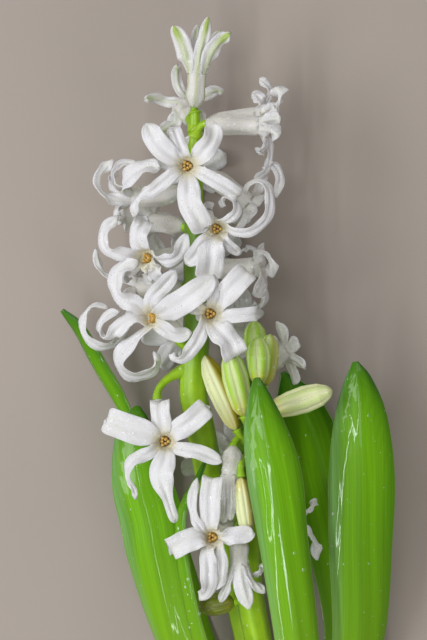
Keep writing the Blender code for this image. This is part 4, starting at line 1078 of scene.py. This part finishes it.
def bud_finish(colours):
    """Cream buds with green ribs and golden feet; painted shade darkens the east flank and the olive bud."""
    made = Finish("bud_cream", Roughness=0.4, Subsurface_Weight=0.12, Subsurface_Scale=1.0 * MM,
                  Subsurface_Radius=(1.0, 0.95, 0.4))
    along, rib, green = made.mark("along"), made.mark("rib"), made.mark("green")
    streak = made.noise(made.vector(made.math("MULTIPLY", rib, 3.0), made.math("MULTIPLY", along, 2.0)),
                        2.0, 3.0)
    stripe = made.math("ADD", made.spread(rib, 0.25, 0.85), made.spread(streak, 0.4, 0.7, -0.25, 0.25))
    colour = made.mix(made.math("MULTIPLY", stripe, green, clamp=True), colours.bud, colours.bud_green)
    colour = made.mix(made.spread(green, 0.6, 1.0, 0.0, 0.55), colour, (0.36, 0.66, 0.02))
    colour = made.mix(made.spread(along, 0.0, 0.4, 0.5, 0.0), colour, (0.80, 0.62, 0.06))
    colour = made.mix(made.spread(rib, 0.0, 0.2, 0.45, 0.0), colour, (0.86, 0.88, 0.66))
    # painted shade: dark amber over the east flank, away from the key light
    colour = made.mix(made.mark("amber"), colour, (0.38, 0.30, 0.012))
    # painted shade: a green mark above 1.2 turns the bud dark olive, for a bud that lies in shade
    colour = made.mix(made.spread(green, 1.2, 1.8, 0.0, 0.85), colour, (0.19, 0.20, 0.006))
    made.give(Base_Color=colour)
    made.bump(streak, 0.3, 0.15)
    return made.material


def neck_finish(colours):
    """Cream bulb scales with browner papery edges."""
    made = Finish("neck_cream", Roughness=0.55, Subsurface_Weight=0.1, Subsurface_Scale=1.5 * MM)
    fibre = made.noise(made.place(), 350, 4.0)
    colour = made.mix(made.spread(fibre, 0.35, 0.7), [c * 0.85 for c in colours.neck], colours.neck)
    edge = made.math("MULTIPLY", made.spread(made.mark("rings"), -0.5, -1.0), made.mark("cut"))
    colour = made.mix(made.math("MULTIPLY", edge, 0.7), colour, (0.40, 0.28, 0.12))
    made.give(Base_Color=colour)
    made.bump(fibre, 0.4, 0.3)
    return made.material


def dew_finish():
    """Water: nearly clear, with a painted glint: whiter and glowing a little on the west side, where the key
    light stands.
    """
    made = Finish("dew_water", Base_Color=(1, 1, 1, 1), Roughness=0.12, Specular_IOR_Level=0.6,
                  Emission_Color=(1, 1, 1, 1))
    # painted glint: emission and a whiter, less clear body on the side that looks west, towards the key light
    lit = made.westward()
    made.give(Emission_Strength=made.spread(lit, 0.0, -0.6, 0.0, 0.2), Alpha=made.spread(lit, 0.0, -0.6,
                                                                                         0.07, 0.42))
    return made.material


def floor_finish(colours):
    """A matt pale floor, faintly clouded."""
    made = Finish("floor_pale", Roughness=0.9)
    cloud = made.noise(made.place(), 6.0, 2.0)
    made.give(Base_Color=made.mix(made.spread(cloud, 0.3, 0.7), [c * 0.96 for c in colours.floor],
                                  colours.floor))
    return made.material


# ---------------------------------------------------------------- operators


class PlantOperator:
    """What the operators share: the scene's sizes and colours, and the pieces made so far."""

    bl_options = {"REGISTER", "UNDO"}

    @property
    def sizes(self):
        return bpy.context.scene.hyacinth_sizes

    @property
    def colours(self):
        return bpy.context.scene.hyacinth_colours


class HYACINTH_OT_petals(PlantOperator, bpy.types.Operator):
    """Make the petals of every floret."""

    bl_idname = "hyacinth.petals"
    bl_label = "Petals"

    def execute(self, context):
        material = petal_finish(self.colours)
        for seed, row in enumerate(FLORETS):
            part = floret_part(row, self.sizes, np.random.default_rng(seed))
            new_piece("petals_" + row[0], part, material, [row[0]])
        return {"FINISHED"}


class HYACINTH_OT_stamens(PlantOperator, bpy.types.Operator):
    """Make the anthers inside every throat."""

    bl_idname = "hyacinth.stamens"
    bl_label = "Stamens"

    def execute(self, context):
        material = pollen_finish(self.colours)
        for row in FLORETS:
            new_piece("anthers_" + row[0], stamens_part(row, self.sizes), material)
        return {"FINISHED"}


class HYACINTH_OT_buds(PlantOperator, bpy.types.Operator):
    """Make the closed buds."""

    bl_idname = "hyacinth.buds"
    bl_label = "Buds"

    def execute(self, context):
        material = bud_finish(self.colours)
        for row in BUDS:
            new_piece("fine_" + row[0], bud_part(row), material, [row[0]])
        return {"FINISHED"}


class HYACINTH_OT_stalks(PlantOperator, bpy.types.Operator):
    """Make both flower stalks with their pedicels."""

    bl_idname = "hyacinth.stalks"
    bl_label = "Stalks"

    def execute(self, context):
        material = stalk_finish(self.colours)
        for name in STALKS:
            new_piece("fine_" + name, stalk_part(name), material, [name])
        return {"FINISHED"}


class HYACINTH_OT_leaves(PlantOperator, bpy.types.Operator):
    """Make the six leaves."""

    bl_idname = "hyacinth.leaves"
    bl_label = "Leaves"

    def execute(self, context):
        material = leaf_finish(self.colours)
        for name, stations in LEAVES.items():
            new_piece("fine_" + name, leaf_part(stations, self.sizes), material, [name])
        return {"FINISHED"}


class HYACINTH_OT_neck(PlantOperator, bpy.types.Operator):
    """Make the cut neck of the bulb."""

    bl_idname = "hyacinth.neck"
    bl_label = "Neck"

    def execute(self, context):
        new_piece("fine_neck", neck_part(), neck_finish(self.colours), ["neck"])
        return {"FINISHED"}


class HYACINTH_OT_dew(PlantOperator, bpy.types.Operator):
    """Scatter dew over petals, buds, stalks and leaves."""

    bl_idname = "hyacinth.dew"
    bl_label = "Dew"

    def execute(self, context):
        material = dew_finish()
        draw = np.random.default_rng(7)
        groups = (("petals_", self.sizes.dew_on_florets * len(FLORETS)), ("fine_leaf", 320),
                  ("fine_bud", 160), ("fine_stalk", 220))
        for start, count in groups:
            pieces = [piece for piece in bpy.data.objects if piece.name.startswith(start)]
            if not pieces:
                raise RuntimeError(f"make the pieces named {start}... before the dew on them")
            new_piece("dew_" + start.strip("_"), dew_part(pieces, count, self.sizes, draw), material)
        return {"FINISHED"}


class HYACINTH_OT_stage(PlantOperator, bpy.types.Operator):
    """Make the floor, the lights and the camera."""

    bl_idname = "hyacinth.stage"
    bl_label = "Stage"

    def execute(self, context):
        scene = bpy.context.scene
        origin = plant_origin() * MM
        mesh = bpy.data.meshes.new("floor")
        corners = ((-1, -1), (1, -1), (1, 1), (-1, 1))
        mesh.from_pydata([(x * FLOOR_HALF, y * FLOOR_HALF, CAD_BOX[0][2]) for x, y in corners], [],
                         [(0, 1, 2, 3)])
        mesh.materials.append(floor_finish(self.colours))
        floor = bpy.data.objects.new("floor", mesh)
        scene.collection.objects.link(floor)

        world = bpy.data.worlds.new("studio")
        world.use_nodes = True
        world.node_tree.nodes["Background"].inputs["Color"].default_value = (0.93, 0.92, 0.92, 1)
        world.node_tree.nodes["Background"].inputs["Strength"].default_value = 0.16
        scene.world = world
        lights = (
            ("key", (-0.80, 0.15, 0.70), (0.25, 0.9), 4.9, (0.98, 0.98, 1.0)),
            ("head", (0.20, 1.00, 0.65), (0.6, 0.4), 2.2, (1.0, 0.98, 0.96)),
            ("foot", (0.30, -0.95, 0.70), (0.6, 0.4), 3.2, (1.0, 0.97, 0.93)),
            ("front", (-0.20, 0.20, 1.30), (0.5, 0.5), 2.3, (1.0, 0.98, 0.95)),
            ("streak", (-0.36, -0.10, 0.80), (0.025, 0.9), 2.2, (0.95, 0.98, 1.0)),
        )
        for name, place, size, power, colour in lights:
            data = bpy.data.lights.new(name, "AREA")
            data.shape = "RECTANGLE"
            data.size, data.size_y = size
            data.energy = power
            data.color = colour
            lamp = bpy.data.objects.new(name, data)
            back = unit(place)
            length = unit(NORTH - back * back[1])
            lamp.matrix_world = Matrix.LocRotScale(
                place, Matrix(np.stack([np.cross(length, back), length, back], axis=1).tolist()), None)
            scene.collection.objects.link(lamp)

        data = bpy.data.cameras.new("camera")
        data.lens = 200
        camera = bpy.data.objects.new("camera", data)
        camera.location = (origin[0], origin[1], origin[2] + AIM_HEIGHT + CAMERA_DISTANCE)
        scene.collection.objects.link(camera)
        scene.camera = camera
        scene.view_settings.view_transform = "Standard"
        return {"FINISHED"}


class HYACINTH_PT_pieces(bpy.types.Panel):
    """Sizes, colours and the operators, in the order in which they are run."""

    bl_idname = "HYACINTH_PT_pieces"
    bl_label = "Hyacinth"
    bl_space_type = "VIEW_3D"
    bl_region_type = "UI"
    bl_category = "Hyacinth"

    def draw(self, context):
        layout = self.layout
        for group in (context.scene.hyacinth_sizes, context.scene.hyacinth_colours):
            for name in group.bl_rna.properties.keys():
                if name not in ("rna_type", "name"):
                    layout.prop(group, name)
        for operator in OPERATORS:
            layout.operator(operator.bl_idname)


OPERATORS = (HYACINTH_OT_petals, HYACINTH_OT_stamens, HYACINTH_OT_buds, HYACINTH_OT_stalks,
             HYACINTH_OT_leaves,
             HYACINTH_OT_neck, HYACINTH_OT_dew, HYACINTH_OT_stage)
CLASSES = (HyacinthSizes, HyacinthColours, *OPERATORS, HYACINTH_PT_pieces)


def register():
    for made in CLASSES:
        bpy.utils.register_class(made)
    bpy.types.Scene.hyacinth_sizes = PointerProperty(type=HyacinthSizes)
    bpy.types.Scene.hyacinth_colours = PointerProperty(type=HyacinthColours)


def unregister():
    del bpy.types.Scene.hyacinth_colours
    del bpy.types.Scene.hyacinth_sizes
    for made in reversed(CLASSES):
        bpy.utils.unregister_class(made)


def main():
    """Runs the operators in order."""
    register()
    bpy.ops.hyacinth.petals()
    bpy.ops.hyacinth.stamens()
    bpy.ops.hyacinth.buds()
    bpy.ops.hyacinth.stalks()
    bpy.ops.hyacinth.leaves()
    bpy.ops.hyacinth.neck()
    bpy.ops.hyacinth.dew()
    bpy.ops.hyacinth.stage()


if __name__ == "__main__":
    main()
